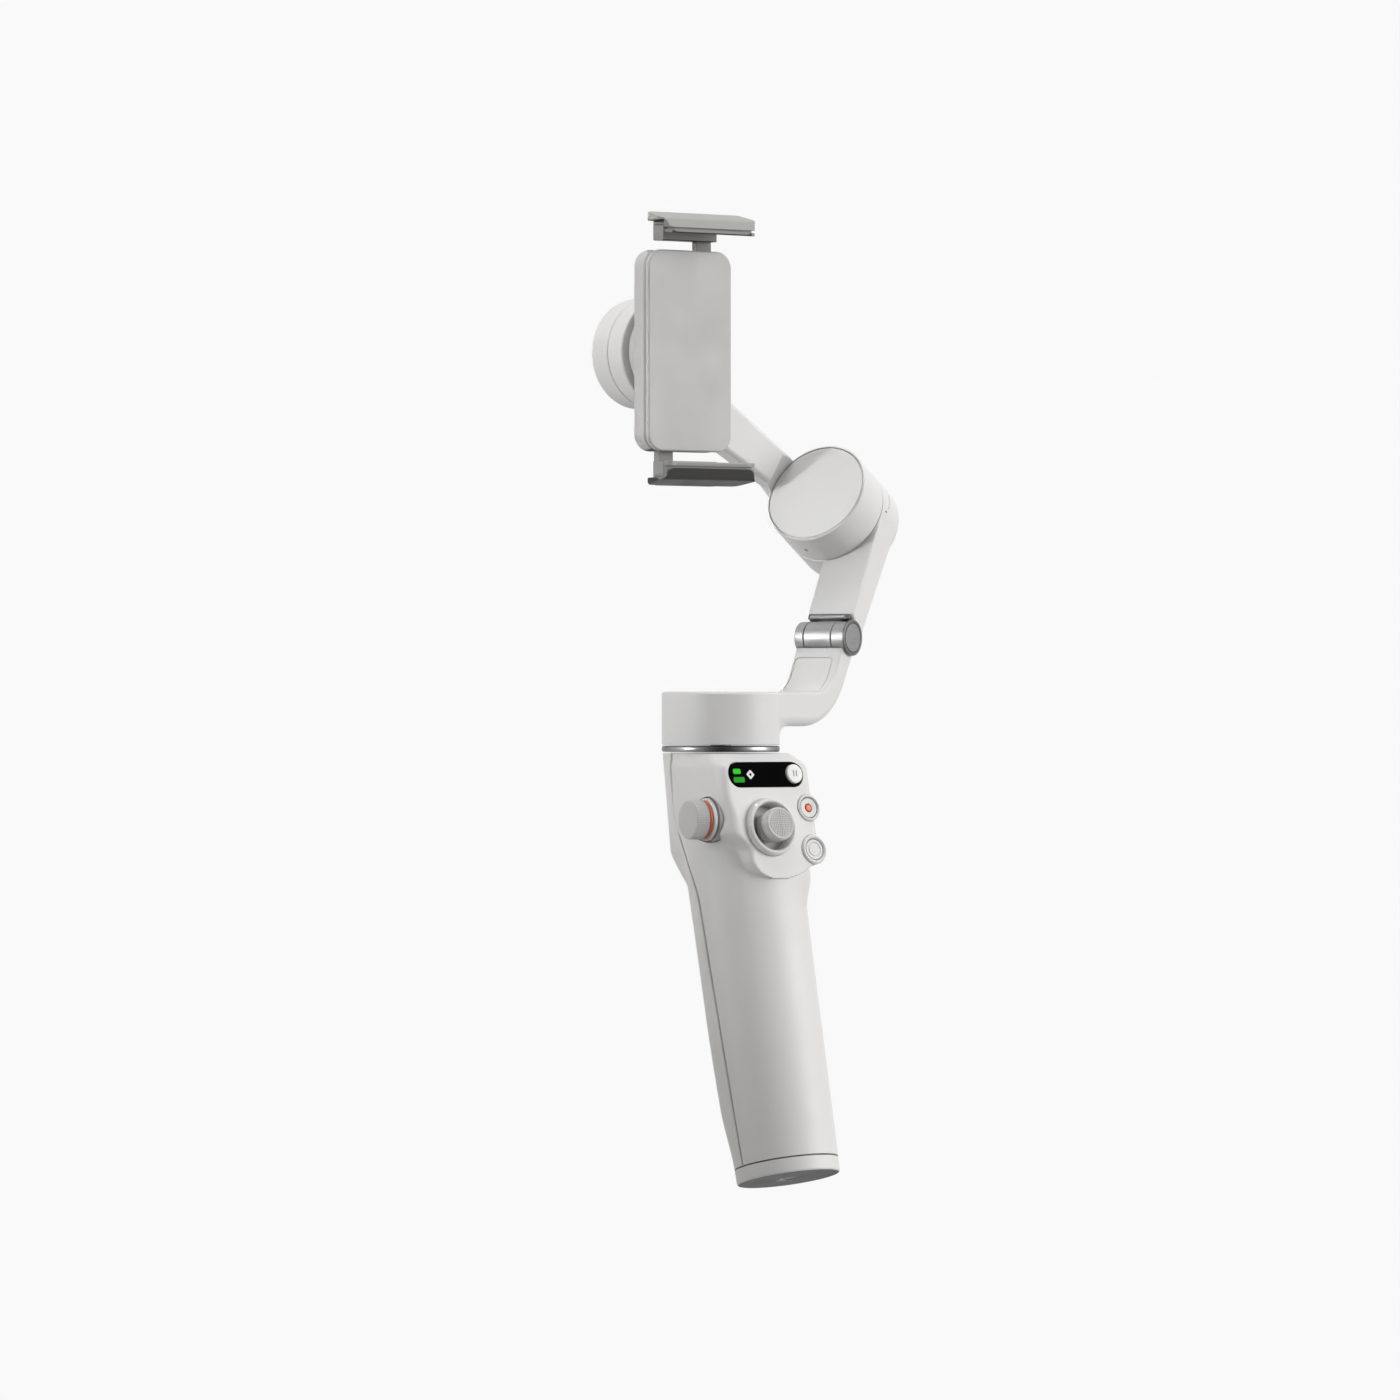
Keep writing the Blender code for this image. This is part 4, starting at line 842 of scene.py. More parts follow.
def makeStick():
    place = onPanel(stick["x"], stick["z"])
    ring, hole, cap, body, dish = (stick[key] for key in ("ring", "hole", "cap", "body", "dish"))
    foot = dish + 0.3
    corners = [(hole, foot), (hole, 0.8), (ring - 1.3, 1.95), (ring - 0.45, 1.95), (ring, 1.0), (ring, foot)]
    bezel = spin("stickBezel", corners, [0, 0.5, 0.5, 0.7, 0.5, 0], 4, place, 128)
    dress(bezel, "handle", "body_plastic", "joystick_bezel")
    base = washer("stickBase", 2.9, ring + 0.3, dish - 0.8, dish, [0, 0.2, 0.2, 0.25], 4, place)
    dress(base, "handle", "grey_plastic", "joystick_base")
    yoke = washer("stickYoke", 3.4, 5.6, -6.6, -5.0, 0.3, 3, place, 64)
    dress(yoke, "joystick_cross", "dark_plastic", "joystick_yoke")
    corners = [(0, -6.6), (1.7, -6.6), (1.7, -1.3), (body, -1.0), (body, 1.1), (0, 1.1)]
    stem = spin("stickStem", corners, [0, 0.2, 0.2, 0.5, 0.3, 0], 4, place)
    dress(stem, "joystick_stick", "grey_plastic", "joystick_stem")

    high, inner = stick["top"], cap - 0.95
    corners = [(0.4, 1.4), (body, 1.4), (cap, 2.3), (cap, high - 0.65)]
    corners += [(cap - 0.45, high - 0.18), (inner, high - 0.3)]
    outline = roundOff(corners, [0, 0.3, 0.4, 0.3, 0.3, 0], 4)
    shares = [k / ridges["rows"] for k in range(1, ridges["rows"])]
    tops = [(inner * (1 - share), high - 0.3 + ridges["dome"] * share) for share in shares]
    rings = []
    for n, (radius, height) in enumerate(outline + tops):
        level = []
        for k in range(ridges["sides"]):
            turn = 2 * pi * k / ridges["sides"]
            x, y = radius * cos(turn), radius * sin(turn)
            lift = 0.0
            if n >= len(outline) - 1:       # crossed ridges on the thumb face
                ridge = abs(sin(pi * x / ridges["pitch"])) * abs(sin(pi * y / ridges["pitch"]))
                lift = ridges["high"] * (ridge ** 0.5) * min((inner - radius) / ridges["fade"], 1.0)
            level.append((x, y, height + lift - ridges["sink"] * (n >= len(outline))))
        rings.append(level)
    dress(skinRings("stickCap", rings, place), "joystick_stick", "grey_plastic", "joystick_cap")


def keyBezel(name, key, place, heights, shoulder, node):
    ring, bore, low = key["ring"], key["cap"] + keyDeep["gap"], keyDeep["ring"]
    inside, crown, outside = heights
    corners = [(bore, low), (bore, inside), (ring - shoulder, crown), (ring, outside), (ring, low)]
    dress(spin(name, corners, [0, 0.12, 0.4, 0.2, 0], 5, place), "handle", "body_plastic", node)


def makeKeys():
    foot = keyDeep["foot"]
    place = onPanel(recordKey["x"], recordKey["z"])
    cap, dot = recordKey["cap"], recordKey["dot"]
    keyBezel("recordBezel", recordKey, place, (0.2, 0.62, 0.2), 0.45, "record_bezel")
    crown = roundOff([(cap, -1.0), (cap, 0.12), (cap - 0.5, 0.15), (dot + 0.3, 0.0)], [0, 0.25, 0.3, 0], 4)
    button = turned("recordButton", [(dot + 0.3, foot), (cap, foot), *crown], place)
    dress(button, "record_key", "body_plastic", "record_button")
    corners = [(0, foot), (dot, foot), (dot, 0.12), (dot - 0.35, 0.2), (0, 0.2)]
    lens = spin("recordDot", corners, [0, 0, 0.15, 0.3, 0], 4, place, 48)
    dress(lens, "record_key", "orange_plastic", "record_dot")

    place = onPanel(modeKey["x"], modeKey["z"])
    cap = modeKey["cap"]
    keyBezel("modeBezel", modeKey, place, (0.3, 0.75, 0.25), 0.5, "mode_bezel")
    corners = [(0, foot), (cap, foot), (cap, 0.27), (2.2, 0.25)]
    corners += [(2.06, 0.04), (1.94, 0.04), (1.8, 0.25), (0, 0.25)]     # a fine ring in its face
    button = spin("modeButton", corners, [0, 0, 0.25, 0.08, 0.05, 0.05, 0.08, 0], 4, place)
    dress(button, "mode_key", "body_plastic", "mode_button")

    place = onPanel(switchKey["x"], window["z"])
    r, low, high = switchKey["radius"] - 0.1, switchKey["low"], switchKey["high"]
    button = washer("switchButton", 0, r, low, high, [0, 0, 0.45, 0], 6, place)
    for x in (-0.5, 0.5):       # two short grooves for the fingertip
        groove = [(x + px, py) for px, py in roundedPlate(0.22, 0.95, 0.2, 5)]
        carve(button, [cutPrism(groove, 0.3, 2, place)])
    dress(button, "switch_key", "white_plastic", "switch_button")


def makeWheel():
    place = lookAlong(wheel["base"], wheel["axis"])
    r, out, bore = wheel["radius"], wheel["out"], wheel["bore"]
    collar = washer("wheelCollar", 3.6, wheel["hole"] - 0.3, -3.2, -0.5, 0.25, 3, place, 72)
    dress(collar, "handle", "grey_plastic", "wheel_collar")
    shaft = washer("wheelShaft", 0, 2.4, -3.9, 4.6, [0, 0.3, 0.3, 0], 3, place, 48)
    dress(shaft, "wheel_plunger", "steel", "wheel_shaft")
    flange = washer("wheelFlange", bore, 6.1, 0.2, 1.3, [0, 0.3, 0.45, 0], 5, place)
    dress(flange, "side_wheel", "body_plastic", "wheel_flange")
    band = washer("wheelRing", bore, 5.55, 1.6, 2.1, [0, 0.15, 0.15, 0], 3, place)
    dress(band, "side_wheel", "orange_plastic", "wheel_ring")

    rim = roundOff([(r - 0.6, 2.4), (r, 2.4), (r, out), (r - 1.2, out)], [0, 0.2, 0.55, 0], 6)[1:]
    face = [(r - 1.6, out - 0.02), (r - 3.2, out - 0.05), (0.3, out - 0.06)]
    sides = wheel["ribs"] * wheel["ribSteps"]
    rings = []
    for radius, height in [(bore, 4.9), (bore, 2.4)] + rim + face:
        milled = radius > r - 0.16 and 2.55 < height < out - 0.35       # a grip around the rim
        ring = []
        for k in range(sides):
            turn = 2 * pi * k / sides
            wave = (0.5 + 0.5 * cos(wheel["ribs"] * turn)) ** 2
            reach = radius - (wheel["ribDeep"] * wave if milled else 0.0)
            ring.append((reach * cos(turn), reach * sin(turn), height))
        rings.append(ring)
    dress(skinRings("wheelKnob", rings, place), "side_wheel", "grey_plastic", "wheel_knob")


# (y, z) corners of the lever and the rounding of each
triggerOutline = [
    (45.6, 115.0), (46.9, 112.0), (47.9, 106.0), (48.4, 99.0), (48.1, 93.8), (47.0, 91.8), (45.4, 92.6),
    (44.6, 99.0), (44.4, 107.0), (43.9, 109.9), (42.4, 110.6), (41.2, 112.6), (42.4, 114.8), (44.0, 115.4),
]
triggerRounds = [1.2, 6, 12, 12, 2.0, 1.2, 1.2, 12, 6, 1.0, 1.4, 1.6, 1.6, 1.6]


def makeTrigger():
    half, end, pin = trigger["half"], trigger["half"] + trigger["gap"], trigger["pin"]
    outline = roundOff(triggerOutline, triggerRounds, 6, True)
    lever = pressed("trigger", outline, -half, half, 0.7, lookAcross((0, 0, 0), (0, 1, 0), (0, 0, 1)))
    place = lookAlong((0, *trigger["pivot"]), (1, 0, 0))
    carve(lever, [plug(pin + 0.2, -20, 20, place, 32)])
    dress(lever, "trigger_lever", "grey_plastic", "trigger")
    rod = washer("triggerPin", 0, pin, -end, end, [0, 0.2, 0.2, 0], 3, place, 32)
    dress(rod, "handle", "steel", "trigger_pin")


def makePort():
    place = lookAlong(port["at"], (1, 0, 0))
    a, b = port["half"]
    shell = pressed("chargePort", roundedPlate(a, b, a - 0.05, 10), -7.5, -0.4, 0.12, place, 3)
    carve(shell, [cutPrism(roundedPlate(a - 0.35, b - 0.4, a - 0.4, 10), -6.5, 3, place)])
    dress(shell, "handle", "steel", "usb_port")


rods = {"radius": 8.0, "wall": 0.9, "step": 1.2, "low": 16.0, "high": 118.0, "collarLow": 121.4}
# name, body, replaced node, how much higher it starts and ends
rodStages = (
    ("rodOuter", "rod_stage_1", "rod_outer", 0, 0),
    ("rodMiddle", "rod_stage_2", "rod_middle", 3, 1),
    ("rodInner", "pan_base", "rod_inner", 6, 20),
)


def makeRods():
    place = lookAlong((0, panY - rods["collarLow"] * leanTan, 0), leanUp)
    r = rods["radius"]
    for name, body, node, lift, more in rodStages:
        rod = washer(name, r - rods["wall"], r, rods["low"] + lift, rods["high"] + more, 0.25, 3, place)
        if node == "rod_inner":
            carve(rod, [block((-20, 0, rods["collarLow"] - 0.3), (20, 80, 180))])
        dress(rod, body, "steel", node)
        r -= rods["step"]


makeWindow()
makeLights()
makeStick()
makeKeys()
makeWheel()
makeTrigger()
makePort()
makeRods()
print("controls and rods made")

pan = {
    "radius": 17.0, "low": 123.4, "top": 138.7, "collarTop": 123.1,
    "edge": 0.9, "bore": 15.3, "shaft": 3.0,
}
arm = {
    "turn": radians(21.0),
    "lean": radians(29.0),
    "half": 8.0,
    "side": 8.4,                        # the arms stand to the operator's side of the pan axis
    "under": ((22.9, 152.7), 24.0),     # bend centre and radius
    "over": ((27.55, 149.4), 11.0),
    "root": 4,                          # where it starts inside the can
    "ends": (16, 10),                   # straight runs after the bend, under and over
    "low": 128.7,
    "rootFillet": 2.5,
    "rim": 0.7,
    "frontRim": 3.0,
}
cover = {"half": 6.2, "shift": -0.8, "thick": 0.7, "start": -70.5, "run": 5.2, "corner": 1.3, "lift": 0.02}
coverSeat = {"back": 1.2, "gap": 0.22, "corner": 0.2, "deep": 2.3, "over": 0.25}
hinge = {
    "u": 45.35, "z": 154.5, "radius": 4.7, "length": 17.0, "left": 3.0, "right": 4.4,
    "flange": 5.3, "flangeThick": 0.7, "pin": 1.8, "gap": 0.3,
}
upper = {"start": (47.35, 161.1), "thick": 7.3, "topThick": 9.6, "rim": 0.7}
armOut = Vector((cos(arm["turn"]), sin(arm["turn"]), 0))
armSide = Vector((sin(arm["turn"]), -cos(arm["turn"]), 0))
armLean = Vector((sin(arm["lean"]), cos(arm["lean"])))
armIn = Vector((-cos(arm["lean"]), sin(arm["lean"])))
bendStop = -degrees(arm["lean"])


def armPoint(u, z, w=0.0):
    return Vector((0, panY, z)) + armOut * u + armSide * w


# x outward, y up, z along the hinge
armPlace = lookAcross(armPoint(0, 0, arm["side"]), armOut, (0, 0, 1))
hingePlace = lookAlong(armPoint(hinge["u"], hinge["z"], arm["side"]), armSide)


def hingeClear():
    return plug(hinge["radius"] + hinge["gap"], -20, 20, hingePlace, 96)


# (across the hinge, through the arm) with a softer lower front edge
def armSection(thick, half, frontRim):
    rim = arm["rim"]
    made = [(-half + rim + (2 * half - rim - frontRim) * k / 24, 0.0) for k in range(25)]
    edges = (
        ((half - frontRim, frontRim), frontRim, -90),
        ((half - rim, thick - rim), rim, 0),
        ((-half + rim, thick - rim), rim, 90),
        ((-half + rim, rim), rim, 180),
    )
    for centre, radius, start in edges:
        made += arcPoints(centre, radius, start, start + 90, 7)[1:]
    return made[:-1]


def lowerArm():
    (cu, cz), ru = arm["under"]
    (ou, oz), ro = arm["over"]
    root = arm["root"]
    pairs = []
    for k in range(61):
        t = k / 60
        pairs.append(((root + (cu - root) * t, arm["low"]), (root + (ou - root) * t, oz - ro)))
    under = arcPoints((cu, cz), ru, -90, bendStop, 36)
    over = arcPoints((ou, oz), ro, -90, bendStop, 36)
    pairs += list(zip(under[1:], over[1:]))
    lowRun, highRun = arm["ends"]
    for k in range(1, 13):
        low = Vector(under[-1]) + armLean * (lowRun * k / 12)
        pairs.append((low, Vector(over[-1]) + armLean * (highRun * k / 12)))
    rings = []
    fillet = arm["rootFillet"]
    for low, high in pairs:
        low, high = Vector(low), Vector(high)
        across = (high - low).normalized()
        ring = []
        for w, rise in armSection((high - low).length, arm["half"], arm["frontRim"]):
            spot = low + across * rise
            off = hypot(spot.x, w + arm["side"]) - pan["radius"]
            sink = fillet - sqrt(max(fillet ** 2 - max(fillet - max(off, 0.0), 0.0) ** 2, 0.0))
            sink *= max(1 - rise / fillet, 0.0)     # a fillet where the underside meets the can
            ring.append((spot.x, spot.y - sink, w))
        rings.append(ring)
    return skinRings("lowerArm", rings, armPlace)


# (middle of the bend's inner face, outward normal, distance along)
def coverStations(start, run, spans):
    centre, radius = Vector(arm["over"][0]), arm["over"][1]
    sweep = radians(bendStop - start) * radius
    made = []
    for k in range(spans + 1):
        along = (sweep + run) * k / spans
        turn = radians(start) + min(along, sweep) / radius
        normal = Vector((cos(turn), sin(turn)))
        made.append((centre + normal * radius + armLean * max(along - sweep, 0.0), normal, along))
    return made, sweep + run


def coverHalf(along, total, half, corner):
    gap = min(along, total - along)
    return half - corner + sqrt(max(corner ** 2 - max(corner - gap, 0.0) ** 2, 0.0))


def coverPocket():
    gap, shift = coverSeat["gap"], cover["shift"]
    stations, total = coverStations(cover["start"] - coverSeat["back"], cover["run"] + gap, 60)
    rings = []
    for spot, normal, along in stations:
        half = coverHalf(along, total, cover["half"] + gap, cover["corner"] + coverSeat["corner"])
        inner, outer = spot - normal * coverSeat["deep"], spot + normal * (cover["thick"] + coverSeat["over"])
        corners = ((inner, -half), (inner, half), (outer, half), (outer, -half))
        rings.append([(place.x, place.y, shift + w) for place, w in corners])
    return skinRings("cutter", rings, armPlace)


def armCover():
    stations, total = coverStations(cover["start"], cover["run"], 72)
    rings = []
    for spot, normal, along in stations:
        half = coverHalf(along, total, cover["half"], cover["corner"])
        middle = spot + normal * (cover["thick"] / 2 + cover["lift"])
        ring = []
        for x, y in roundedPlate(half, cover["thick"] / 2, 0.2, 4):
            place = middle - normal * y
            ring.append((place.x, place.y, cover["shift"] + x))
        rings.append(ring)
    return skinRings("armCover", rings, armPlace)


def makePan():
    upright = Matrix.Translation((0, panY, 0))
    r, low, top = pan["radius"], rods["collarLow"], pan["collarTop"]
    shaft, shaftTop = pan["shaft"], pan["top"] - 2.6
    corners = [(0, low), (r, low), (r, top), (shaft, top), (shaft, shaftTop), (0, shaftTop)]
    collar = spin("panCollar", corners, [0, 0.55, 0.55, 0, 0.3, 0], 6, upright, 160)
    dress(collar, "pan_base", "polished", "pan_collar")

    low, top = pan["low"], pan["top"]
    can = washer("panMotorArm", 0, r, low, top, [0, 0.35, pan["edge"], 0], 6, upright, 192)
    carve(can, [carve(lowerArm(), [coverPocket()])], "UNION")
    u, z = hinge["u"], hinge["z"]
    above = [(17, z - 1.5), (u, z + 0.4), (70, z - 8.0), (70, 190), (17, 190)]
    carve(can, [
        hingeClear(),
        cutPrism(above, -20, 20, armPlace),
        plug(pan["bore"], low - 5, top - 2.0, upright, 96),
    ])
    dress(can, "pan_head", "body_plastic", "pan_arm", sharp=joinAngle)
    dress(armCover(), "pan_head", "body_plastic", "arm_cover")
    makeHinge()


def makeHinge():
    half, r, bore = hinge["length"] / 2, hinge["radius"], hinge["pin"] + 0.2
    low, split = -half + hinge["left"], half - hinge["right"]
    foot = -half + 0.3
    corners = [(bore, foot), (r - 1.1, foot), (r - 0.9, -half), (r, -half), (r, low), (bore, low)]
    knuckle = spin("hingeKnuckleLeft", corners, [0, 0.1, 0.15, 0.4, 0.12, 0], 4, hingePlace)
    dress(knuckle, "pan_head", "steel", "knuckle_left")
    end = arm["half"] + 0.3 + hinge["flangeThick"]
    rim = hinge["flange"]
    stop = end - hinge["flangeThick"] - 0.1
    knuckle = washer("hingeKnuckleRight", bore, r, split, stop, [0, 0.12, 0.05, 0], 4, hingePlace)
    dress(knuckle, "pan_head", "steel", "knuckle_right")
    corners = [(0, half - 0.25), (r - 0.1, half - 0.25), (rim, half - 0.2), (rim, end), (rim - 0.75, end)]
    corners += [(rim - 0.95, end - 0.3), (0, end - 0.3)]
    flange = spin("hingeFlange", corners, [0, 0.05, 0.1, 0.25, 0.12, 0.1, 0], 4, hingePlace)
    dress(flange, "pan_head", "dark_steel")
    corners = [(0, end - 0.28), (rim - 1.15, end - 0.28), (rim - 1.15, end - 0.05), (0, end - 0.02)]
    disc = spin("hingeFlangeDisc", corners, [0, 0.02, 0.15, 0], 3, hingePlace)
    dress(disc, "pan_head", "mid_steel")
    axle = washer("hingePin", 0, hinge["pin"], foot, -foot, [0, 0.2, 0.2, 0], 3, hingePlace, 48)
    dress(axle, "pan_head", "steel", "hinge_pin")


tilt = {
    "u": 53.1, "z": 197.3, "radius": 16.1, "seam": 12.0, "back": 24.8, "edge": 3.0, "gap": 0.3, "wall": 1.7,
    "pinHole": (-96.6, -6.0),       # turn around the axis from the arm's side, height behind the cap
    "dots": ((6.0, -14.5), (42.0, -18.0)),
    "slot": ((12.5, -15.7), (32.6, -17.0)),
}
tiltPlace = lookAlong(armPoint(tilt["u"], tilt["z"]), armPoint(armIn.x, armIn.y) - armPoint(0, 0))


def rimHole(spot, size, deep):      # a drill pointing at the tilt axis
    turn, height = radians(spot[0]), spot[1]
    out = Vector((cos(turn), sin(turn), 0))
    at = tiltPlace @ (out * tilt["radius"] + Vector((0, 0, height)))
    return plug(size, -deep, 2, lookAlong(at, tiltPlace.to_3x3() @ out), 20)


# on the upper arm: depth behind its inner face, rise along it
def onUpper(deep, rise):
    return tuple(Vector(upper["start"]) - armIn * deep + armLean * rise)


def upperBox(near, far, low, high):
    return [onUpper(near, low), onUpper(near, high), onUpper(far, high), onUpper(far, low)]


leaf = {"near": 4.2, "far": 1.6, "low": -6.4, "high": 6.0, "gap": 0.3, "rim": 0.25}
sill = {"box": (-0.05, 3.4, -1.1, 0.55), "across": (-7.5, 6.6), "rim": 0.3}
sillStrip = {"box": (-0.3, 0.2, -0.75, -0.1), "across": (-6.7, 5.0), "rim": 0.15}


def makeUpperArm():
    reach = (Vector((tilt["u"], tilt["z"])) - Vector(upper["start"])).dot(armLean)
    thick = upper["thick"]
    outline = [(0, 0.6), (0, reach), (upper["topThick"], reach), (thick, -4.4), (thick - 1.6, -4.4)]
    outline = roundOff([onUpper(*spot) for spot in outline], [1.2, 1.0, 4.0, 1.0, 0.9], 6, True)
    right = tilt["radius"] - arm["side"] - 0.02
    limb = pressed("upperArm", outline, -arm["half"], right, upper["rim"], armPlace)
    r, back, front = tilt["radius"], -tilt["back"], -tilt["seam"] - tilt["gap"]
    carve(limb, [washer("cup", 0, r, back, front, [0, tilt["edge"], 0.25, 0], 9, tiltPlace, 192)], "UNION")
    half, gap = hinge["length"] / 2, leaf["gap"]
    low, high = -half + hinge["left"] + gap, half - hinge["right"] - gap
    leafHalf, leafMid = (high - low) / 2 - 0.5, (high + low) / 2
    leafLow, leafHigh = leafMid - leafHalf, leafMid + leafHalf
    slot = upperBox(leaf["near"] + gap, leaf["far"] - gap, -8, leaf["high"] + gap)
    carve(limb, [
        plug(r - tilt["wall"], back + 2.3, 0, tiltPlace, 96),
        hingeClear(),
        cutPrism(slot, leafLow - gap, leafHigh + gap, armPlace),
    ])
    start, stop = Vector(tilt["slot"][0]), Vector(tilt["slot"][1])
    carve(limb, [rimHole(spot, 0.42, 0.7) for spot in tilt["dots"]])
    carve(limb, [rimHole(start.lerp(stop, k / 15), 0.25, 0.2) for k in range(16)])
    dress(limb, "fold_arm", "body_plastic", "upper_arm", sharp=joinAngle)

    bore = hinge["pin"] + 0.3
    barrel = washer("hingeLeaf", bore, hinge["radius"], low, high, [0, 0.12, 0.12, 0], 3, hingePlace)
    box = upperBox(leaf["near"], leaf["far"], leaf["low"], leaf["high"])
    tongue = pressed("tongue", box, leafLow, leafHigh, leaf["rim"], armPlace, 3)
    carve(tongue, [plug(3.4, -20, 20, hingePlace, 64)])
    carve(barrel, [tongue], "UNION")
    dress(barrel, "fold_arm", "steel", "hinge_leaf")
    for name, trim, slotName in (("armSill", sill, "dark_steel"), ("armSillStrip", sillStrip, "steel")):
        box = roundOff(upperBox(*trim["box"]), trim["rim"], 3, True)
        dress(pressed(name, box, *trim["across"], trim["rim"], armPlace, 3), "fold_arm", slotName)


roll = {
    "x": -6.0, "z": 236.9, "radius": 16.0, "back": 68.0, "seam": 57.2, "front": 50.3,
    "gap": 0.15, "wall": 1.7, "magnet": 11.0, "magnetSeat": 11.3, "shaft": 3.0,
}
rollPlace = lookAlong((roll["x"], 0, roll["z"]), (0, 1, 0))
strut = {
    "start": (4.4, 66.0, -2.6),         # from the tilt motor, but y from the origin
    "bend": (-3.6, 66.0, 6.6),
    "stop": (roll["x"], 63.5, roll["z"] - 1.0),
    "halves": (5.2, 5.6, 8.5),
    "spans": 40,
    "deep": 3.6,
    "corner": 1.6,
}


def makeStrut():
    motor = Vector((tiltPlace.translation.x, 0, tiltPlace.translation.z))
    path = [motor + Vector(strut["start"]), motor + Vector(strut["bend"]), Vector(strut["stop"])]
    spans, halves = strut["spans"], strut["halves"]
    stations = []
    for k in range(spans + 1):
        t = k / spans * 2
        n = min(int(t), 1)
        f = t - n
        stations.append((path[n].lerp(path[n + 1], f), halves[n] + (halves[n + 1] - halves[n]) * f))
    rings = []
    for k, (spot, half) in enumerate(stations):
        ahead = stations[min(k + 2, spans)][0] - stations[max(k - 2, 0)][0]
        up = Vector((0, 1, 0)).cross(ahead).normalized()
        plate = roundedPlate(half, strut["deep"], strut["corner"], 6)
        rings.append([spot + up * a + Vector((0, b, 0)) for a, b in plate])
    return skinRings("strut", rings)


def makeTilt():
    r, low = tilt["radius"], -tilt["seam"]
    corners = [(0, low), (r, low), (r, -0.3), (r - 0.3, -0.05), (0, -0.05)]
    can = spin("tiltMotorArm", corners, [0, 0.25, 0.5, 0.1, 0], 6, tiltPlace, 192)
    q, front, back = roll["radius"], roll["seam"] + roll["gap"], roll["back"]
    corners = [(0, front), (q, front), (q, back - 3), (q - 3, back), (0, back)]
    housing = spin("housing", corners, [0, 0.25, 2.5, 2.5, 0], 7, rollPlace, 192)
    carve(can, [makeStrut(), housing], "UNION")
    carve(can, [
        plug(r - tilt["wall"], low - 1, -2.4, tiltPlace, 96),
        plug(r - 0.55, -1.0, 5, tiltPlace, 160),
        plug(q - roll["wall"], roll["seam"] - 5, back - 2.0, rollPlace, 96),
        rimHole(tilt["pinHole"], 0.6, 1.5),
    ])
    dress(can, "tilt_head", "body_plastic", "tilt_arm", sharp=joinAngle)
    cap = washer("tiltCap", 0, r - 0.8, -0.7, 0.0, [0, 0.1, 0.35, 0], 5, tiltPlace, 192)
    dress(cap, "tilt_head", "body_plastic", "tilt_cap")


def makeRoll():
    q, inner, shaft, seat = roll["radius"], roll["radius"] - roll["wall"], roll["shaft"], roll["magnetSeat"]
    front, back, shaftEnd = roll["front"], roll["seam"] - roll["gap"], roll["back"] - 3.5
    corners = [(0, front + 1.3), (seat, front + 1.3), (seat, front), (q, front), (q, back), (inner, back)]
    corners += [(inner, front + 2.5), (shaft, front + 2.5), (shaft, shaftEnd), (0, shaftEnd)]
    rotor = spin("rollRotor", corners, [0, 0, 0.15, 0.6, 0.2, 0.15, 0, 0, 0.2, 0], 5, rollPlace, 192)
    dress(rotor, "roll_head", "body_plastic", "roll_rotor")
    disc = roll["magnet"]
    magnet = washer("mountMagnet", 0, disc, front - 0.2, front + 1.0, [0, 0.25, 0.1, 0], 4, rollPlace, 128)
    dress(magnet, "roll_head", "magnet", "mount_magnet")


clamp = {
    "halfWide": 15.0, "halfTall": 29.0, "corner": 5.0, "opening": 71.5, "phoneFront": 30.0,
    "body": (-46.0, -40.7, 0.8), "cover": (-40.4, -38.6, 0.6), "wall": 1.6, "hollow": (36, 44.2),
    "channel": 12.2, "channelFront": 40.9,
}
jaw = {
    # rise of the jaw's back, of its front edge, and of the lip that comes over the phone
    "top": ("upper_jaw", 1, 3.9, -1.0, -2.6), "bottom": ("lower_jaw", -1, 3.1, -1.6, -3.4),
    "half": 18.0, "deep": 10.5, "corner": 5.2, "neck": 9.6, "back": 43.6, "foot": -4.0, "thick": 1.15,
    "tip": 2.0, "lip": 0.6, "heel": 38.7, "crown": 3.4, "lipRound": 1.5, "gate": 11,
    "line": 0.65, "lineDeep": 0.7,
    "stem": ((4.25, 41.3), (9.5, 43.4)),
    "rounds": (0.15, 0.25, 0.3, 1.6, 3.0, 2.0, 0.6, 0.6, 0.3, 0.2, 0.2, 0.1, 0.15, 0.15),
}
jawPad = {
    "half": 14.0, "thick": 1.1, "corner": 2.0, "rim": 0.3,
    "rib": 3.0, "ribHalf": 0.3, "ribDeep": 0.35, "ribEnd": 1.1,
}


def makeClamp():
    x, z, wall = roll["x"], roll["z"], clamp["wall"]
    place = lookAcross((x, 0, z), (1, 0, 0), (0, 0, 1))
    left, right = x - clamp["halfWide"], x + clamp["halfWide"]
    low, high = z - clamp["halfTall"], z + clamp["halfTall"]
    plate = roundedPlate(clamp["halfWide"], clamp["halfTall"], clamp["corner"], 12)
    body = pressed("clampBody", plate, *clamp["body"], place)
    front, back = clamp["hollow"]
    carve(body, [
        block((left + wall, front, low + wall), (right - wall, back, high - wall)),
        block((x - clamp["channel"], clamp["channelFront"], low - 5), (x + clamp["channel"], back, high + 5)),
    ])
    dress(body, "clamp", "grey_plastic", "clamp_body")
    dress(pressed("clampCover", plate, *clamp["cover"], place), "clamp", "grey_plastic", "clamp_cover")
    corners = [(0, 46.3), (14.0, 46.3), (14.0, 49.9), (10.6, 49.9), (10.4, 49.7), (0, 49.7)]
    puck = spin("clampPuck", corners, [0, 0.6, 0.6, 0.1, 0.1, 0], 5, rollPlace, 128)
    dress(puck, "clamp", "grey_plastic", "clamp_puck")
    roller = washer("syncRoller", 1.2, 4.0, 41.2, 43.9, [0, 0.25, 0.25, 0], 3, rollPlace, 72)
    dress(roller, "roller", "dark_plastic", "sync_roller")
    for name in ("top", "bottom"):
        makeJaw(name)
        makePad(name)


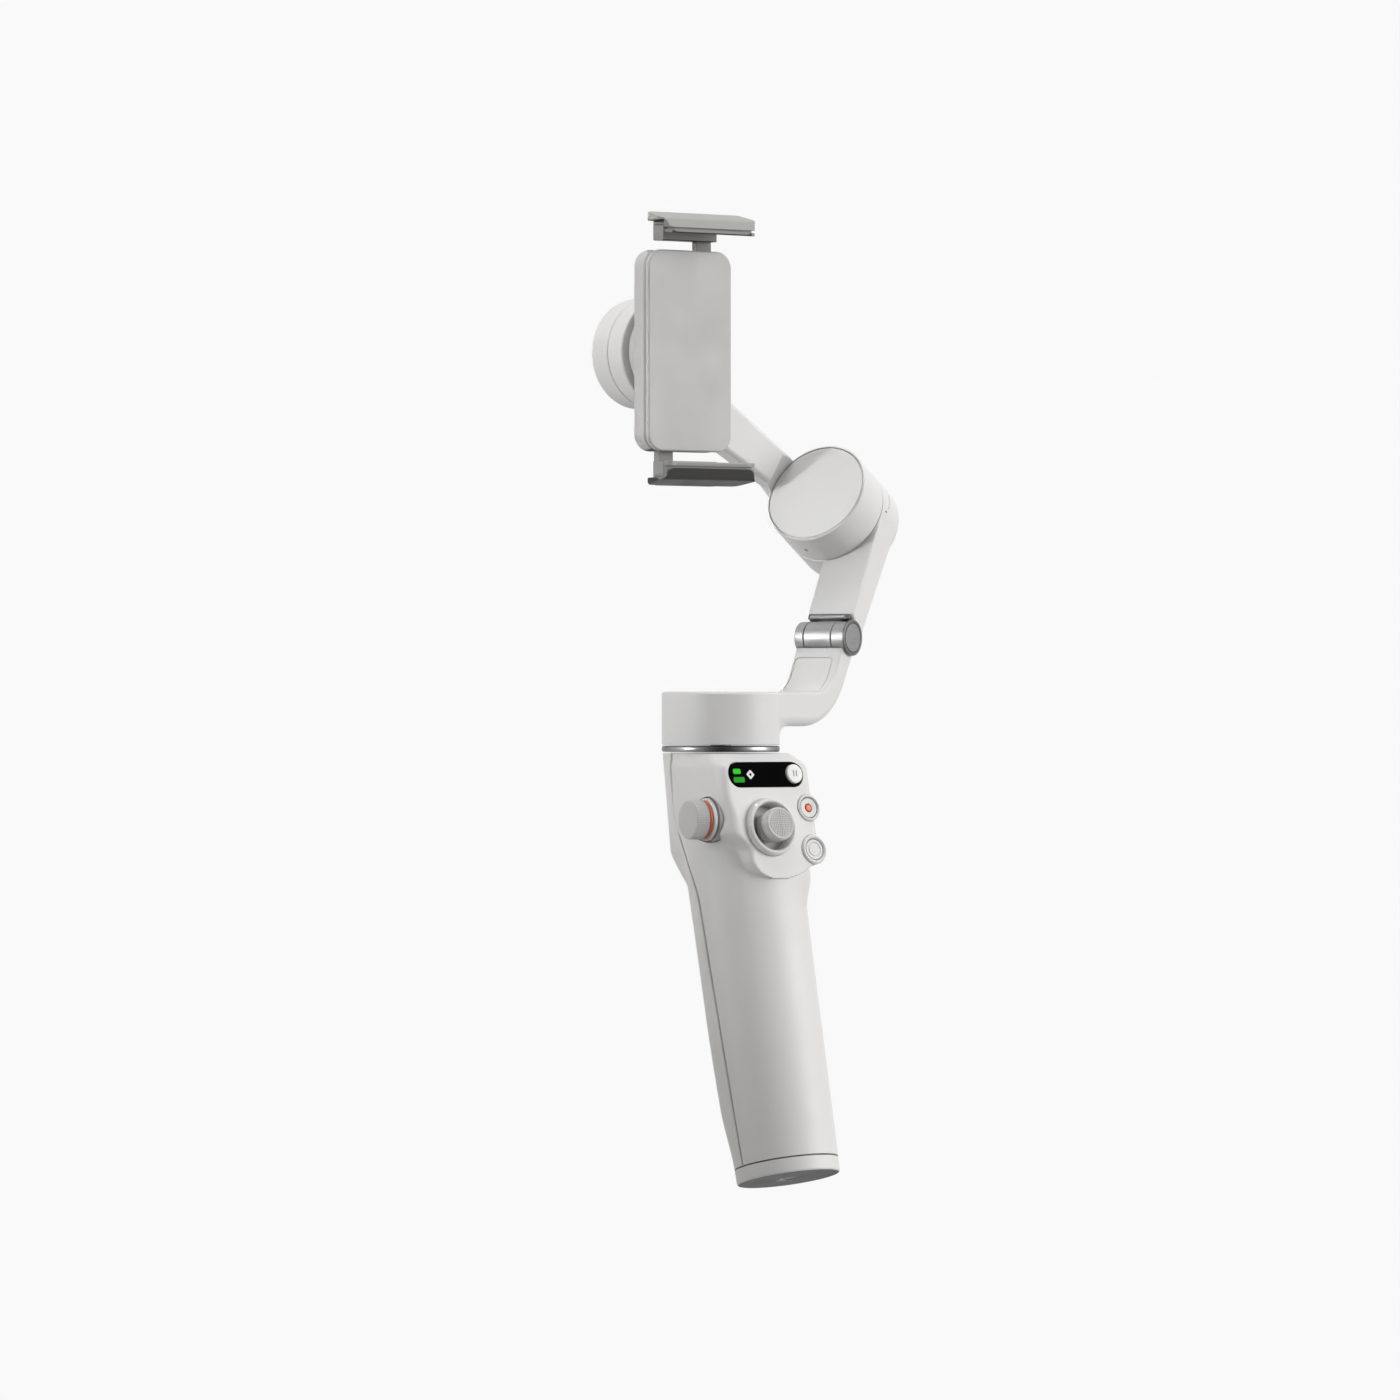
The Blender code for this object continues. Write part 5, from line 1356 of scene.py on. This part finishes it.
def jawSection(tip, lip, rise, brow, low):      # (y, lift) around the jaw, seen from its end
    back, foot, heel, under = jaw["back"], jaw["foot"], jaw["heel"], jaw["thick"]
    made = [(tip + 0.2, low), (tip, low + 0.3), (tip, brow), (clamp["phoneFront"] - 0.7, 1.6)]
    made += [(36.6, rise - 0.15), (37.6, rise), (back - 1.0, rise), (back, rise - 1.0), (back, foot)]
    made += [(heel, foot), (heel, under), (lip, under), (lip, low + 0.3), (lip - 0.2, low)]
    return roundOff(made, jaw["rounds"], 6, True)


def jawPlan(tip):       # (x, y) from above: a bar with round corners and a neck
    near, back, corner, neck = tip + jaw["corner"], tip + jaw["deep"], jaw["corner"], jaw["neck"]
    side, far, end = jaw["half"] - corner, back - corner, jaw["back"] + 1
    made = arcPoints((side, far), corner, 0, 90, 14)
    made += [(neck, back), (neck, end), (-neck, end), (-neck, back)]
    made += arcPoints((-side, far), corner, 90, 180, 14) + arcPoints((-side, near), corner, 180, 270, 14)
    return made + arcPoints((side, near), corner, 270, 360, 14)


def jawCrown(rise, low):        # (x, lift) from the front: round shoulders and lip ends
    wide, top, foot, gate = jaw["half"], jaw["crown"], jaw["lipRound"], jaw["gate"]
    made = arcPoints((wide - top, rise - top), top, 0, 90, 10)
    made += arcPoints((top - wide, rise - top), top, 90, 180, 10)
    made += arcPoints((foot - wide, low + foot), foot, 180, 270, 6)
    made += [(-gate, low), (-gate, -12), (gate, -12), (gate, low)]
    return made + arcPoints((wide - foot, low + foot), foot, 270, 360, 6)


def makeJaw(name):
    body, up, rise, brow, low = jaw[name]
    x, z = roll["x"], roll["z"]
    edge = z + up * clamp["opening"] / 2
    tip, lip = clamp["phoneFront"] - jaw["tip"], clamp["phoneFront"] - jaw["lip"]
    section = [(y, edge + up * lift) for y, lift in jawSection(tip, lip, rise, brow, low)]
    end = jaw["half"] + 1
    made = plainPrism(name + "Jaw", section, -end, end, lookAcross((x, 0, 0), (0, 1, 0), (0, 0, 1)))
    plan, across = jawPlan(tip), Matrix.Translation((x, 0, 0))
    crown = [(px, up * pz) for px, pz in jawCrown(rise, low)]
    carve(made, [
        cutPrism(plan, edge - 20, edge + 20, across),
        cutPrism(crown, -80, 0, lookAcross((x, 0, edge), (1, 0, 0), (0, 0, 1))),
    ], "INTERSECT")
    breakEdges(made, 0.25, 3, 50)
    under, over = sorted((edge + up * (brow - jaw["line"]), edge + up * brow))
    # a shadow line above the lip
    line = block((x - 24, tip - 2, under), (x + 24, tip + jaw["deep"] - 2, over))
    carve(line, [cutPrism(inset(plan, jaw["lineDeep"]), under - 1, over + 1, across)])
    carve(made, [line])
    (stemIn, stemFront), (stemOut, stemBack) = jaw["stem"]
    sides = sorted((x + up * stemIn, x + up * stemOut))
    ends = sorted((edge - up * 3.0, z - up * 5.0))
    carve(made, [block((sides[0], stemFront, ends[0]), (sides[1], stemBack, ends[1]))], "UNION")
    dress(made, body, "jaw_metal", name + "_jaw", sharp=joinAngle)


def makePad(name):
    body, up = jaw[name][:2]
    x, edge = roll["x"], roll["z"] + up * clamp["opening"] / 2
    low = min(edge, edge + up * jawPad["thick"])
    near, far = clamp["phoneFront"] - jaw["lip"] + 0.4, jaw["heel"] - 0.3
    outline = roundedPlate(jawPad["half"], (far - near) / 2, jawPad["corner"], 8)
    place = Matrix.Translation((x, (near + far) / 2, 0))
    pad = pressed(name + "Pad", outline, low, low + jawPad["thick"], jawPad["rim"], place, 3)
    half, deep, end = jawPad["ribHalf"], jawPad["ribDeep"], jawPad["ribEnd"]
    for k in range(-4, 5):      # grip ribs across the pad
        middle = x + k * jawPad["rib"]
        carve(pad, [block((middle - half, near + end, edge - deep), (middle + half, far - end, edge + deep))])
    dress(pad, body, "rubber", name + "_pad")


makePan()
makeUpperArm()
print("pan motor and arms made")
makeTilt()
makeRoll()
makeClamp()
print("tilt, roll and clamp made")

carried = {
    "main_board": "board", "battery_pack": "cell", "rod_guide": "dark_plastic",
    "pan_stator": "winding", "tilt_stator": "winding", "roll_stator": "winding",
    "pan_bearing": "steel", "roll_bearing": "steel", "tilt_shaft": "steel",
    "pan_magnets": "magnet", "tilt_magnets": "magnet", "roll_magnets": "magnet",
}
for nodeName, slotName in carried.items():
    smooth(nodes[nodeName], slotName, sharpAngle)
print("inner pieces dressed:", len(carried))
